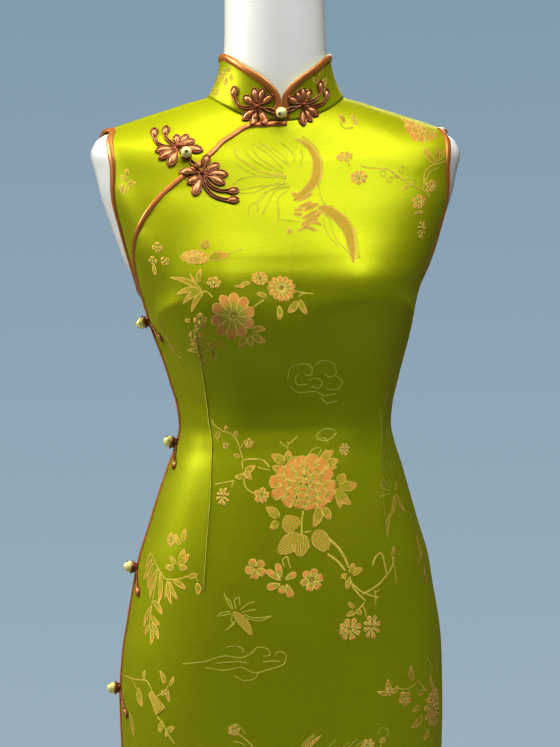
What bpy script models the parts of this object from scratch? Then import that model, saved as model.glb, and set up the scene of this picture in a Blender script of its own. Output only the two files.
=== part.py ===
"""A sleeveless cheongsam on a limbless dress form with a pole and a round foot.

Units are metres and +Z is up. The origin is the centre of the foot's underside, on the floor.
The front faces -Y, so the wearer's right side is at -X and the left side at +X.

The outer face of the cloth is one smooth figure: a stack of rings. A place on it has two numbers:
turn, the angle round the body in degrees (0 centre front, 90 wearer's left, 180 centre back, -90
wearer's right), and level, the height at which its ring passes the wearer's side. Rings tilt towards
the neck, so that the last one of the dress is the neck seam. Each panel is a patch of this figure.
"""

import math

import bmesh
import bpy
import numpy as np
from mathutils import Vector

# ---------------------------------------------------------------- driving dimensions
CLOTH_WALL = 0.0012
COLLAR_WALL = 0.0016  # stiffened
CLOTH_TO_FORM = 0.0023
SEAM_GAP = 0.0003
LAY_GAP = 0.0006  # between the cloth and a piece that lies on it

HEM = 0.240
SLIT_TOP = 0.620
UNDERARM = 1.143
SHOULDER_TIP = 1.319
NECK_SEAM = 1.355
FORM_BOTTOM = 0.660

SIDE_SEAM_Y = 0.004
SHOULDER_SEAM_Y = {SHOULDER_TIP: -0.020, NECK_SEAM: -0.012}
SLIT_OPEN = 0.006  # half the gap between front and back at the hem, at the slits

FIGURE_COLUMNS = (
    "level", "half_width", "front", "back", "front_z", "back_z", "front_full", "back_full", "centre_x",
)
# Half width, depth in front of and behind the neck's axis, heights at centre front and back,
# how square the section is in front and behind, and the sideways stance of the hips and waist.
FIGURE = (
    (0.240, 0.1600, 0.0980, 0.1120, 0.240, 0.240, 0.12, 0.12, -0.0030),  # hem
    (0.420, 0.1670, 0.1010, 0.1160, 0.420, 0.420, 0.12, 0.12, -0.0030),
    (0.600, 0.1735, 0.1040, 0.1210, 0.600, 0.600, 0.12, 0.12, -0.0030),
    (0.700, 0.1765, 0.1060, 0.1250, 0.700, 0.700, 0.12, 0.12, -0.0030),  # widest hip
    (0.750, 0.1745, 0.1070, 0.1270, 0.750, 0.750, 0.12, 0.12, -0.0015),
    (0.785, 0.1700, 0.1075, 0.1265, 0.785, 0.785, 0.12, 0.12, 0.0000),
    (0.820, 0.1640, 0.1075, 0.1230, 0.820, 0.820, 0.12, 0.12, 0.0004),
    (0.850, 0.1585, 0.1070, 0.1180, 0.850, 0.850, 0.12, 0.12, 0.0012),
    (0.885, 0.1480, 0.1055, 0.1095, 0.885, 0.885, 0.12, 0.12, 0.0020),
    (0.920, 0.1375, 0.1030, 0.1005, 0.920, 0.920, 0.12, 0.12, 0.0028),
    (0.950, 0.1280, 0.1000, 0.0930, 0.950, 0.950, 0.12, 0.12, 0.0040),
    (0.975, 0.1195, 0.0965, 0.0870, 0.975, 0.975, 0.12, 0.12, 0.0050),
    (0.995, 0.1155, 0.0945, 0.0840, 0.995, 0.995, 0.12, 0.12, 0.0055),  # waist
    (1.016, 0.1175, 0.0950, 0.0835, 1.016, 1.016, 0.12, 0.12, 0.0055),
    (1.045, 0.1250, 0.0990, 0.0850, 1.045, 1.045, 0.14, 0.12, 0.0050),
    (1.075, 0.1330, 0.1060, 0.0880, 1.075, 1.075, 0.18, 0.12, 0.0048),
    (1.100, 0.1400, 0.1130, 0.0910, 1.100, 1.100, 0.22, 0.14, 0.0035),
    (1.126, 0.1470, 0.1200, 0.0945, 1.126, 1.126, 0.25, 0.15, 0.0012),  # bust
    (1.148, 0.1550, 0.1215, 0.0970, 1.146, 1.148, 0.25, 0.17, -0.0005),
    (1.180, 0.1675, 0.1150, 0.1000, 1.170, 1.180, 0.25, 0.20, 0.0000),
    (1.214, 0.1790, 0.1060, 0.1020, 1.195, 1.214, 0.25, 0.22, 0.0000),
    (1.247, 0.1900, 0.0970, 0.1010, 1.222, 1.247, 0.24, 0.22, 0.0000),
    (1.275, 0.1965, 0.0875, 0.0970, 1.246, 1.277, 0.22, 0.22, 0.0000),
    (1.297, 0.2020, 0.0800, 0.0900, 1.265, 1.300, 0.20, 0.20, 0.0000),  # shoulder cap
    (1.309, 0.1990, 0.0760, 0.0855, 1.275, 1.313, 0.18, 0.18, 0.0000),
    (1.317, 0.1890, 0.0730, 0.0820, 1.281, 1.321, 0.16, 0.16, 0.0000),
    (1.322, 0.1770, 0.0710, 0.0790, 1.285, 1.327, 0.15, 0.15, 0.0000),
    (1.330, 0.1530, 0.0680, 0.0735, 1.292, 1.336, 0.12, 0.12, 0.0000),
    (1.338, 0.1280, 0.0655, 0.0670, 1.299, 1.346, 0.08, 0.08, 0.0000),
    (1.347, 0.1000, 0.0620, 0.0595, 1.309, 1.356, 0.05, 0.05, 0.0000),
    (1.355, 0.0750, 0.0580, 0.0520, 1.321, 1.366, 0.03, 0.03, 0.0000),  # neck seam
    (1.366, 0.0665, 0.0565, 0.0490, 1.339, 1.378, 0.02, 0.02, 0.0000),
    (1.382, 0.0620, 0.0575, 0.0480, 1.362, 1.392, 0.02, 0.02, 0.0000),
    (1.401, 0.0600, 0.0585, 0.0475, 1.389, 1.408, 0.02, 0.02, 0.0000),
    (1.430, 0.0588, 0.0600, 0.0465, 1.424, 1.434, 0.02, 0.02, 0.0000),
    (1.462, 0.0583, 0.0615, 0.0450, 1.460, 1.464, 0.02, 0.02, 0.0000),
    (1.500, 0.0583, 0.0630, 0.0435, 1.500, 1.500, 0.02, 0.02, 0.0000),  # top of the neck
)
RING_TILT_POWER = 1.8

BUST_OUT = 0.013
BUST_X, BUST_Z = 0.082, 1.130
BUST_SPREAD_X, BUST_SPREAD_UP, BUST_SPREAD_DOWN = 0.048, 0.055, 0.040

# Level, and how far the armhole's edge lies in front of and behind the side.
ARMHOLE_COLUMNS = ("level", "front_y", "back_y")
ARMHOLE = (
    (UNDERARM, SIDE_SEAM_Y, SIDE_SEAM_Y),
    (1.150, -0.012, 0.020),
    (1.163, -0.023, 0.031),
    (1.182, -0.031, 0.041),
    (1.205, -0.037, 0.049),
    (1.235, -0.042, 0.054),
    (1.262, -0.046, 0.056),
    (1.285, -0.047, 0.053),
    (1.300, -0.043, 0.044),
    (1.310, -0.036, 0.030),
    (1.316, -0.028, 0.010),
    (1.3178, -0.024, -0.005),
    (SHOULDER_TIP, SHOULDER_SEAM_Y[SHOULDER_TIP], SHOULDER_SEAM_Y[SHOULDER_TIP]),
)

# The curved opening: level, and the turn at which its edge lies, from the neck to the side seam.
OPENING_LOW = 1.108
OPENING_COLUMNS = ("level", "turn")
OPENING = (
    (OPENING_LOW, -92.0),
    (1.117, -87.0),
    (1.127, -82.5),
    (1.142, -77.0),
    (1.165, -70.0),
    (1.199, -56.6),
    (1.238, -42.2),
    (1.260, -35.3),
    (1.283, -27.9),
    (1.304, -21.8),
    (1.318, -20.8),
    (1.333, -23.0),
    (1.344, -23.2),
    (1.349, -20.4),
    (1.3515, -9.8),
    (NECK_SEAM, 3.0),
)
UNDERLAP = 0.012  # how far the small front piece goes on under the opening's edge
FRONT_LIFT = CLOTH_WALL + 0.0006  # the front passes over the small piece by this much
# Cloth hangs from the bust and bridges the hollow under it, more on the wearer's right.
HANG_COLUMNS = ("level", "out")
HANG = (
    (1.015, 0.0),
    (1.055, 0.0045),
    (1.085, 0.0078),
    (1.099, 0.0074),
    (1.124, 0.0026),
    (1.140, 0.0004),
    (1.149, 0.0),
    (1.157, 0.0006),
    (1.174, 0.0026),
    (1.191, 0.0032),
    (1.245, 0.0),
)
HANG_AHEAD, HANG_LEFT = (-0.045, -0.085), (0.100, -0.020)  # y and x: where it starts and is full
LIFT_FULL, LIFT_GONE = 0.016, 0.060  # distance from the opening's edge

# Rings of the panels. The lower ones are wide apart, and they close up where the figure curves.
SKIRT_LEVELS = (HEM, 0.335, 0.430, 0.525, SLIT_TOP, 0.670, 0.715, 0.755, 0.795, 0.835, 0.875, 0.910)
WAIST_LEVELS = (0.938, 0.960, 0.979, 0.997, 1.015, 1.035, 1.057, 1.082)
BUST_LEVELS = (OPENING_LOW, 1.126, UNDERARM, 1.150, 1.163, 1.182, 1.205, 1.232, 1.258, 1.282, 1.297)
SHOULDER_LEVELS = (1.305, 1.311, 1.3155, 1.3178, SHOULDER_TIP, 1.325, 1.333, 1.341, 1.349, NECK_SEAM)
PANEL_LEVELS = SKIRT_LEVELS + WAIST_LEVELS + BUST_LEVELS + SHOULDER_LEVELS
NECK_LEVELS = (1.361, 1.368, 1.382, 1.401, 1.430, 1.462, 1.500)
FRONT_COLUMNS, BACK_COLUMNS, SMALL_PIECE_COLUMNS, FORM_COLUMNS = 22, 17, 6, 30

# Collar: its top ring, and the round corners at centre front.
COLLAR_TOP = {"level": 1.401, "half_width": 0.0608, "front": 0.0630, "back": 0.0520, "full": 0.03,
              "front_z": 1.365, "back_z": 1.411}
COLLAR_TILT_POWER = 2.5
COLLAR_CORNER = 0.030
COLLAR_HOLLOW = 0.004  # its sides curve in by this much, and its front by less
COLLAR_END_GAP = 0.0006
COLLAR_COLUMNS, COLLAR_ROWS = 36, 3

PIPING_WIDTH, PIPING_HEIGHT = 0.0050, 0.0016
PIPING_TOP = LAY_GAP + PIPING_HEIGHT
COLLAR_PIPING_STEPS = 36
COLLAR_PIPING_FOOT = 0.22  # where it starts, as a part of the collar's height
SIDE_PIPING_INSET, CURVE_PIPING_INSET = 0.0029, 0.0008  # its middle, from the panel's edge
SHOULDER_PIPING_RISE = 0.0012
# Levels along the curved edge, closer together where it turns to centre front.
OPENING_PIPING_LEVELS = (*np.linspace(OPENING_LOW, 1.300, 17), *np.linspace(1.306, 1.345, 8),
                         1.3485, 1.3505, 1.3525)
OVER_PIPING_FULL, OVER_PIPING_FADE = 0.0040, 0.0090  # how what crosses a binding comes down beside it

CORD = 0.0026  # satin cord of the frogs
BEAD = 0.0120
LOOP_RADIUS = 0.0046  # to the middle of the cord loop that a bead sits in
FLOWER_HEIGHT, FLOWER_CORE, FLOWER_STEPS = 0.0040, 0.0055, 44
FLOWER_DOME = ((1 / 3, 0.75), (2 / 3, 1.0), (1.0, 0.35))  # part of the reach, part of the height
TENDRIL_STEPS = 6

# Flower frogs. Each petal: its direction in degrees (0 to the wearer's left, 90 up), length and width.
# The last petal is the pair of cords that leads to the bead.
FLOWER_PETALS = {
    "collar_flower_right": (
        (31, 0.0173, 0.0085), (68, 0.0158, 0.0075), (103, 0.0192, 0.0080), (140, 0.0203, 0.0085),
        (218, 0.0215, 0.0095), (249, 0.0195, 0.0085), (293, 0.0205, 0.0095), (343, 0.0180, 0.0052),
    ),
    "collar_flower_left": (
        (-86, 0.0230, 0.0085), (-58, 0.0195, 0.0080), (-29, 0.0210, 0.0090), (53, 0.0205, 0.0085),
        (90, 0.0179, 0.0075), (121, 0.0150, 0.0075), (158, 0.0180, 0.0075), (200, 0.0185, 0.0052),
    ),
    "chest_flower_upper": (
        (-10, 0.0245, 0.0110), (30, 0.0180, 0.0080), (59, 0.0220, 0.0090), (88, 0.0190, 0.0085),
        (192, 0.0210, 0.0085), (221, 0.0194, 0.0080), (256, 0.0250, 0.0100), (305, 0.0072, 0.0052),
    ),
    "chest_flower_lower": (
        (70, 0.0200, 0.0085), (33, 0.0184, 0.0080), (0, 0.0248, 0.0100), (-33, 0.0250, 0.0095),
        (256, 0.0280, 0.0110), (222, 0.0192, 0.0085), (174, 0.0200, 0.0100), (126, 0.0190, 0.0052),
    ),
}
# Where each flower's middle and each front bead lies: x and z.
COLLAR_FLOWERS = {"collar_flower_right": (-0.0255, 1.3362), "collar_flower_left": (0.0229, 1.3379)}
CHEST_FLOWERS = {"chest_flower_upper": (-0.1110, 1.2920), "chest_flower_lower": (-0.0877, 1.2624)}
COLLAR_BEAD_PLACE = (-0.0010, 1.3290)
CHEST_BEAD_PLACE = (-0.1030, 1.2820)
# The free end of cord at each flower: to the wearer's left and up from its middle.
TENDRILS = {
    "collar_flower_right": ((-0.0092, -0.0005), (-0.0170, 0.0020), (-0.0230, 0.0090), (-0.0245, 0.0202)),
    "collar_flower_left": ((0.0092, 0.0020), (0.0180, 0.0050), (0.0260, 0.0100), (0.0303, 0.0179)),
    "chest_flower_upper": ((-0.0045, 0.0078), (-0.0090, 0.0150), (-0.0140, 0.0240), (-0.0200, 0.0330)),
    "chest_flower_lower": ((0.0032, -0.0095), (0.0110, -0.0190), (0.0220, -0.0240), (0.0313, -0.0198)),
}

SIDE_FROG_LEVELS = (1.112, 0.976, 0.841, 0.711)
STRAP_LENGTH, STRAP_DROP, STRAP_WIDTH, STRAP_HEIGHT, STRAP_STEPS = 0.042, 0.017, 0.0062, 0.0024, 6

FORM_EDGE = 0.90  # its neck's dome and its underside start at this part of the section
NECK_DOME, UNDERSIDE_DROP = 0.003, 0.008
POLE = 0.025
FLANGE_RADIUS, FLANGE_HEIGHT = 0.060, 0.006
SOCKET_WIDER, SOCKET_LENGTH = 0.010, 0.030
FOOT_RADIUS, FOOT_HEIGHT, FOOT_EDGE = 0.205, 0.010, 0.003

# ---------------------------------------------------------------- colours
LIME_SATIN = (0.55, 0.62, 0.03, 1.0)
COPPER_SATIN = (0.42, 0.16, 0.04, 1.0)
JADE = (0.80, 0.85, 0.42, 1.0)
FORM_WHITE = (0.80, 0.83, 0.80, 1.0)
STEEL = (0.55, 0.56, 0.58, 1.0)


# ---------------------------------------------------------------- the figure
def slopes(x, y):
    """Slopes that make a smooth curve through a table with no overshoot."""
    step, rise = np.diff(x), np.diff(y) / np.diff(x)
    found = np.zeros(len(x))
    found[0], found[-1] = rise[0], rise[-1]
    for i in range(1, len(x) - 1):
        if rise[i - 1] * rise[i] > 0:
            before, after = 2 * step[i] + step[i - 1], step[i] + 2 * step[i - 1]
            found[i] = (before + after) / (before / rise[i - 1] + after / rise[i])
    return found


class Table:
    """Smooth columns over the first column of a short table."""

    def __init__(self, columns, rows):
        data = np.array(rows)
        self.x = data[:, 0]
        self.columns = {
            name: (data[:, i], slopes(self.x, data[:, i])) for i, name in enumerate(columns) if i
        }

    def read(self, name, x):
        y, slope = self.columns[name]
        i = int(np.clip(np.searchsorted(self.x, x) - 1, 0, len(self.x) - 2))
        step = self.x[i + 1] - self.x[i]
        t = (x - self.x[i]) / step
        rest = 1 - t
        return (
            rest * rest * (1 + 2 * t) * y[i]
            + t * t * (3 - 2 * t) * y[i + 1]
            + step * t * rest * (rest * slope[i] - t * slope[i + 1])
        )


figure = Table(FIGURE_COLUMNS, FIGURE)
armhole = Table(ARMHOLE_COLUMNS, ARMHOLE)
opening = Table(OPENING_COLUMNS, OPENING)
hang = Table(HANG_COLUMNS, HANG)


def smooth_step(t):
    t = min(max(t, 0.0), 1.0)
    return t * t * (3 - 2 * t)


def ring_point(turn, half_width, front, back, full_front, full_back):
    """x, y and the cosine at one turn of a rounded section."""
    sine, cosine = math.sin(math.radians(turn)), math.cos(math.radians(turn))
    depth, full = (front, full_front) if cosine > 0 else (back, full_back)
    x = half_width * sine * (1 + full * cosine * cosine)
    y = -depth * cosine * (1 + full * sine * sine)
    return x, y, cosine


def bust(x, z):
    spread = BUST_SPREAD_UP if z > BUST_Z else BUST_SPREAD_DOWN
    across = (abs(x) - BUST_X) / BUST_SPREAD_X
    return BUST_OUT * math.exp(-across * across - ((z - BUST_Z) / spread) ** 2)


def skin(turn, level):
    """A point on the cloth's outer face."""
    row = {name: figure.read(name, level) for name in FIGURE_COLUMNS[1:]}
    x, y, cosine = ring_point(
        turn, row["half_width"], row["front"], row["back"], row["front_full"], row["back_full"]
    )
    end_z = row["front_z"] if cosine > 0 else row["back_z"]
    z = level + (end_z - level) * abs(cosine) ** RING_TILT_POWER
    if cosine > 0:
        y -= bust(x, z)
    return Vector((x + row["centre_x"], y, z))


def normal_of(surface, turn, up, step_up=0.0003):
    """The outward normal of a surface whose first value is a turn and whose second one runs up."""
    across = surface(turn + 0.05, up) - surface(turn - 0.05, up)
    rise = surface(turn, up + step_up) - surface(turn, up - step_up)
    return across.cross(rise).normalized()


def skin_normal(turn, level):
    return normal_of(skin, turn, level)


def turn_at(y, level, side):
    """The turn where a ring passes y, on the wearer's left (side 1) or right (side -1)."""
    low, high = 0.0, 180.0
    for _ in range(40):
        middle = (low + high) / 2
        low, high = (middle, high) if skin(middle, level).y < y else (low, middle)
    return side * low


def turn_step(turn, level, distance):
    """How many degrees of turn cover a distance along the ring."""
    return distance / (skin(turn + 0.5, level) - skin(turn - 0.5, level)).length


# ---------------------------------------------------------------- edges of the panels
def shoulder_seam_y(level):
    part = (level - SHOULDER_TIP) / (NECK_SEAM - SHOULDER_TIP)
    return SHOULDER_SEAM_Y[SHOULDER_TIP] * (1 - part) + SHOULDER_SEAM_Y[NECK_SEAM] * part


def slit_half_gap(level):
    return SEAM_GAP / 2 + SLIT_OPEN * smooth_step((SLIT_TOP - level) / (SLIT_TOP - HEM))


def side_edge(level, side, which):
    """The turn of a panel's side edge: seam or slit, then armhole, then shoulder seam.

    which is 'front' or 'back', and the panel's edge keeps half of the seam gap.
    """
    away = -1 if which == "front" else 1
    if level < UNDERARM:
        return turn_at(SIDE_SEAM_Y + away * slit_half_gap(level), level, side)
    if level < SHOULDER_TIP:
        reach = armhole.read(which + "_y", level)
        return turn_at(reach + away * SEAM_GAP / 2, level, side)
    return turn_at(shoulder_seam_y(level) + away * SEAM_GAP / 2, level, side)


def opening_edge(level):
    """The turn of the front panel's edge on the wearer's right."""
    seam = side_edge(level, -1, "front")
    if level <= OPENING_LOW:
        return seam
    return max(seam, opening.read("turn", level))


def distance_to_line(point, line):
    """The distance from a point to a line of points, given as an array."""
    place = np.array(point)
    start, run = line[:-1], np.diff(line, axis=0)
    part = np.clip(((place - start) * run).sum(axis=1) / (run * run).sum(axis=1), 0, 1)
    return float(np.linalg.norm(start + run * part[:, None] - place, axis=1).min())


opening_levels = np.linspace(OPENING_LOW, NECK_SEAM, 40)
opening_line = np.array([skin(opening.read("turn", level), level) for level in opening_levels])


def front_lift(point):
    """How far the front stands off the figure, over the small front piece and under the bust."""
    near = distance_to_line(point, opening_line)
    over_piece = FRONT_LIFT * (1 - smooth_step((near - LIFT_FULL) / (LIFT_GONE - LIFT_FULL)))
    if point[1] > 0 or not HANG[0][0] < point[2] < HANG[-1][0]:
        return over_piece
    bridged = 1.0
    for place, (start, full) in ((point[1], HANG_AHEAD), (point[0], HANG_LEFT)):
        bridged *= smooth_step((place - start) / (full - start))
    return over_piece + hang.read("out", point[2]) * bridged


def front_skin(turn, level):
    """A point on the front panel's outer face."""
    point = skin(turn, level)
    return point + skin_normal(turn, level) * front_lift(point)


# ---------------------------------------------------------------- making objects
def clear_scene():
    for old in list(bpy.data.objects):
        bpy.data.objects.remove(old, do_unlink=True)


def make_material(name, colour, roughness, metallic=0.0):
    made = bpy.data.materials.new(name)
    made.use_nodes = True
    shader = made.node_tree.nodes["Principled BSDF"]
    shader.inputs["Base Color"].default_value = colour
    shader.inputs["Roughness"].default_value = roughness
    shader.inputs["Metallic"].default_value = metallic
    return made


def add_object(name, mesh, material):
    made = bpy.data.objects.new(name, mesh)
    made.data.materials.append(material)
    garment.objects.link(made)
    return made


def add_mesh(name, points, faces, material):
    """An object from points and faces, shaded smooth, with its faces pointing out if it is closed."""
    mesh = bpy.data.meshes.new(name)
    mesh.from_pydata([tuple(point) for point in points], [], faces)
    work = bmesh.new()
    work.from_mesh(mesh)
    if not any(edge.is_boundary for edge in work.edges):
        bmesh.ops.recalc_face_normals(work, faces=work.faces)
    work.to_mesh(mesh)
    work.free()
    mesh.shade_smooth()
    return add_object(name, mesh, material)


def grid_faces(rows, columns, closed=False):
    """Quads between rows of points, each row running to the wearer's left and the rows going up."""
    faces = []
    for row in range(rows - 1):
        for column in range(columns if closed else columns - 1):
            after = (column + 1) % columns
            faces.append(
                (row * columns + column, row * columns + after,
                 (row + 1) * columns + after, (row + 1) * columns + column)
            )
    return faces


def add_wall(name, outer, inner, material):
    """A cloth wall between an outer and an inner grid of points, closed along its rim."""
    rows, columns = len(outer), len(outer[0])
    points = [point for grid in (outer, inner) for row in grid for point in row]
    low = rows * columns
    faces = grid_faces(rows, columns)
    faces += [tuple(low + corner for corner in reversed(face)) for face in faces]
    rim = list(range(columns))
    rim += [row * columns + columns - 1 for row in range(1, rows)]
    rim += [(rows - 1) * columns + column for column in range(columns - 2, -1, -1)]
    rim += [row * columns for row in range(rows - 2, 0, -1)]
    faces += [(low + a, low + b, b, a) for a, b in zip(rim, rim[1:] + rim[:1])]
    return add_mesh(name, points, faces, material)


def wall_rows(rows_of_places, surface, normal, wall):
    """The outer and inner points of a wall at rows of places on a surface."""
    outer = [[surface(*place) for place in row] for row in rows_of_places]
    inner = [
        [point - normal(*place) * wall for point, place in zip(points, row)]
        for points, row in zip(outer, rows_of_places)
    ]
    return outer, inner


def panel_places(levels, start_of, end_of, columns):
    """Rows of (turn, level) between two edges, given as turns for each level."""
    return [
        [(turn, level) for turn in np.linspace(start_of(level), end_of(level), columns + 1)]
        for level in levels
    ]


def add_strip(name, path, normals, insides, width, height, material, closed=False):
    """Piping: a low dome swept along points, whose base keeps LAY_GAP off what carries it."""
    section = ((-0.5, 0.0), (-0.38, 0.7), (0.0, 1.0), (0.38, 0.7), (0.5, 0.0), (0.0, 0.0))
    points = []
    for point, normal, inside in zip(path, normals, insides):
        for across, up in section:
            points.append(point + inside * (across * width) + normal * (LAY_GAP + up * height))
    count = len(section)
    faces = grid_faces(len(path), count, closed=True)
    if closed:
        last = (len(path) - 1) * count
        faces += [(last + i, last + (i + 1) % count, (i + 1) % count, i) for i in range(count)]
    else:
        faces += [tuple(range(count)), tuple(range((len(path) - 1) * count, len(path) * count))]
    return add_mesh(name, points, faces, material)


def add_tube(name, points, diameter, material):
    """A round cord along points."""
    curve = bpy.data.curves.new(name, "CURVE")
    curve.dimensions = "3D"
    curve.bevel_depth = diameter / 2
    curve.bevel_resolution = 1
    curve.use_fill_caps = True
    spline = curve.splines.new("POLY")
    spline.points.add(len(points) - 1)
    for place, point in zip(spline.points, points):
        place.co = (*point, 1.0)
    return add_object(name, curve, material)


def lathe(name, profile, steps, material):
    """A turned piece: the profile runs down its outer side, from the axis at the top to the axis below."""
    mesh = bpy.data.meshes.new(name)
    mesh.from_pydata([(radius, 0.0, z) for radius, z in profile], [],
                     [(i, i + 1) for i in range(len(profile) - 1)])
    made = add_object(name, mesh, material)
    turned = made.modifiers.new("Turned", "SCREW")
    turned.steps = turned.render_steps = steps
    turned.use_merge_vertices = True
    turned.merge_threshold = 0.0001
    turned.use_normal_flip = True
    turned.use_smooth_shade = True
    return made


# ---------------------------------------------------------------- form and stand
def build_form():
    """The dress form: the same figure, inside the cloth, with a flat underside and a low dome on the neck."""
    inset = CLOTH_WALL + CLOTH_TO_FORM
    levels = [FORM_BOTTOM] + [level for level in PANEL_LEVELS if level > FORM_BOTTOM] + list(NECK_LEVELS)
    turns = np.linspace(-180, 180, FORM_COLUMNS, endpoint=False)
    rows = [[skin(turn, level) - skin_normal(turn, level) * inset for turn in turns] for level in levels]
    for index, rise in ((0, -UNDERSIDE_DROP), (len(rows) + 1, NECK_DOME)):
        row = rows[0 if index == 0 else -1]
        middle = sum(row, Vector()) / len(row)
        rows.insert(index, [middle.lerp(point, FORM_EDGE) + Vector((0, 0, rise)) for point in row])
    points = [point for row in rows for point in row]
    count = FORM_COLUMNS
    faces = grid_faces(len(rows), count, closed=True)
    faces += [tuple(range(count)), tuple(range((len(rows) - 1) * count, len(rows) * count))]
    add_mesh("dress_form", points, faces, form_material)


def build_stand():
    """A round steel foot, and a pole with a flange that the form stands on."""
    lathe(
        "stand_foot",
        ((0.0, FOOT_HEIGHT), (FOOT_RADIUS - FOOT_EDGE, FOOT_HEIGHT),
         (FOOT_RADIUS, FOOT_HEIGHT - FOOT_EDGE), (FOOT_RADIUS, 0.0), (0.0, 0.0)),
        40, steel_material,
    )
    top = FORM_BOTTOM - UNDERSIDE_DROP - SEAM_GAP
    low = FOOT_HEIGHT + SEAM_GAP
    radius = POLE / 2
    lathe(
        "stand_pole",
        ((0.0, top), (FLANGE_RADIUS, top), (FLANGE_RADIUS, top - FLANGE_HEIGHT),
         (radius, top - FLANGE_HEIGHT - SOCKET_LENGTH), (radius, low + SOCKET_LENGTH),
         (radius + SOCKET_WIDER, low), (0.0, low)),
        20, steel_material,
    )


# ---------------------------------------------------------------- panels
def build_front_panel():
    places = panel_places(
        PANEL_LEVELS, opening_edge, lambda level: side_edge(level, 1, "front"), FRONT_COLUMNS
    )
    add_wall("front_panel", *wall_rows(places, front_skin, skin_normal, CLOTH_WALL), lime_material)


def build_small_piece():
    """The small front piece at the wearer's right shoulder, which goes on under the front's edge."""
    def inner_edge(level):
        turn = opening.read("turn", level)
        return turn + turn_step(turn, level, UNDERLAP)

    levels = [level for level in PANEL_LEVELS if level >= OPENING_LOW]
    places = panel_places(
        levels, lambda level: side_edge(level, -1, "front"), inner_edge, SMALL_PIECE_COLUMNS
    )
    add_wall("right_front_piece", *wall_rows(places, skin, skin_normal, CLOTH_WALL), lime_material)


def build_back_panel():
    places = panel_places(
        PANEL_LEVELS,
        lambda level: side_edge(level, 1, "back"),
        lambda level: 360 + side_edge(level, -1, "back"),
        BACK_COLUMNS,
    )
    add_wall("back_panel", *wall_rows(places, skin, skin_normal, CLOTH_WALL), lime_material)


# ---------------------------------------------------------------- collar
def collar_top(turn):
    top = COLLAR_TOP
    x, y, cosine = ring_point(
        turn, top["half_width"], top["front"], top["back"], top["full"], top["full"]
    )
    end_z = top["front_z"] if cosine > 0 else top["back_z"]
    return Vector((x, y, top["level"] + (end_z - top["level"]) * abs(cosine) ** COLLAR_TILT_POWER))


def collar_skin(turn, part):
    """A point on the collar's outer face, from the neck seam (part 0) to its full height (part 1)."""
    base = front_skin(turn, NECK_SEAM) if abs(turn) < 90 else skin(turn, NECK_SEAM)
    base = base + (collar_top(turn) - base).normalized() * SEAM_GAP
    hollow = COLLAR_HOLLOW * part * (1 - part) * 4 * (1 - abs(math.cos(math.radians(turn))) * 0.7)
    inward = Vector((-base.x, -base.y, 0)).normalized()
    return base.lerp(collar_top(turn), part) + inward * hollow


def collar_normal(turn, part):
    return normal_of(collar_skin, turn, part, 0.005)


def collar_part(turn):
    """How much of its full height the collar has at a turn: the corners at centre front are round."""
    along = abs(collar_top(turn).x)
    if abs(turn) > 60 or along > COLLAR_CORNER:
        return 1.0
    drop = COLLAR_CORNER - math.sqrt(COLLAR_CORNER**2 - (COLLAR_CORNER - along) ** 2)
    full = (collar_top(turn) - collar_skin(turn, 0)).length
    return 1 - drop / full


def collar_turns(count):
    """Turns from the end at the wearer's left, round the back, to the other end, closer together in front."""
    end = math.degrees(COLLAR_END_GAP / 2 / COLLAR_TOP["front"])
    steps = np.linspace(-1, 1, count + 1)
    spread = np.sign(steps) * (1 - (1 - np.abs(steps)) ** 1.5)
    return [180 - end if s == 1 else (180 - end) * s for s in spread]


def build_collar():
    turns = [back + 180 if back < 0 else back - 180 for back in collar_turns(COLLAR_COLUMNS)]
    places = [
        [(turn, collar_part(turn) * row / COLLAR_ROWS) for turn in turns] for row in range(COLLAR_ROWS + 1)
    ]
    add_wall("collar", *wall_rows(places, collar_skin, collar_normal, COLLAR_WALL), lime_material)


def build_collar_piping():
    """Satin binding on the outer face, up the front edge, round the corner and along the top."""
    inset = PIPING_WIDTH / 2
    places = []
    ends = math.degrees(inset / COLLAR_TOP["front"])
    for back_turn in collar_turns(COLLAR_PIPING_STEPS):
        turn = back_turn + 180 if back_turn < 0 else back_turn - 180
        if abs(turn) < ends:
            continue
        full = (collar_top(turn) - collar_skin(turn, 0)).length
        places.append((turn, collar_part(turn) - inset / full))
    first, last = places[0][0], places[-1][0]
    places.insert(0, (math.copysign(ends, first), COLLAR_PIPING_FOOT))
    places.append((math.copysign(ends, last), COLLAR_PIPING_FOOT))
    path = [collar_skin(*place) for place in places]
    normals = [collar_normal(*place) for place in places]
    add_strip("collar_piping", path, normals, insides_of(path, normals), PIPING_WIDTH, PIPING_HEIGHT,
              copper_material)


def insides_of(path, normals, closed=False):
    """For each point of a path, the direction across it in the surface."""
    found = []
    for i, normal in enumerate(normals):
        before = path[i - 1] if closed or i else path[i]
        after = path[(i + 1) % len(path)] if closed or i + 1 < len(path) else path[i]
        found.append(normal.cross(after - before).normalized())
    return found


# ---------------------------------------------------------------- piping on the panels
def opening_piping_places():
    """Places along the middle of the binding, from the slit up to centre front."""
    side = [level for level in PANEL_LEVELS if SLIT_TOP < level < OPENING_LOW]
    places = []
    for level in (SLIT_TOP + PIPING_WIDTH / 2, *side, *OPENING_PIPING_LEVELS):
        turn = opening_edge(level)
        inset = SIDE_PIPING_INSET if level < UNDERARM else CURVE_PIPING_INSET
        places.append((turn + turn_step(turn, level, inset), level))
    return places


opening_piping_line = np.array([front_skin(*place) for place in opening_piping_places()])


def build_opening_piping():
    """Satin binding from centre front along the curved edge, then down the side opening to the slit."""
    places = opening_piping_places()
    path = [front_skin(*place) for place in places]
    normals = [skin_normal(*place) for place in places]
    add_strip("opening_piping", path, normals, insides_of(path, normals), PIPING_WIDTH, PIPING_HEIGHT,
              copper_material)


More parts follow.
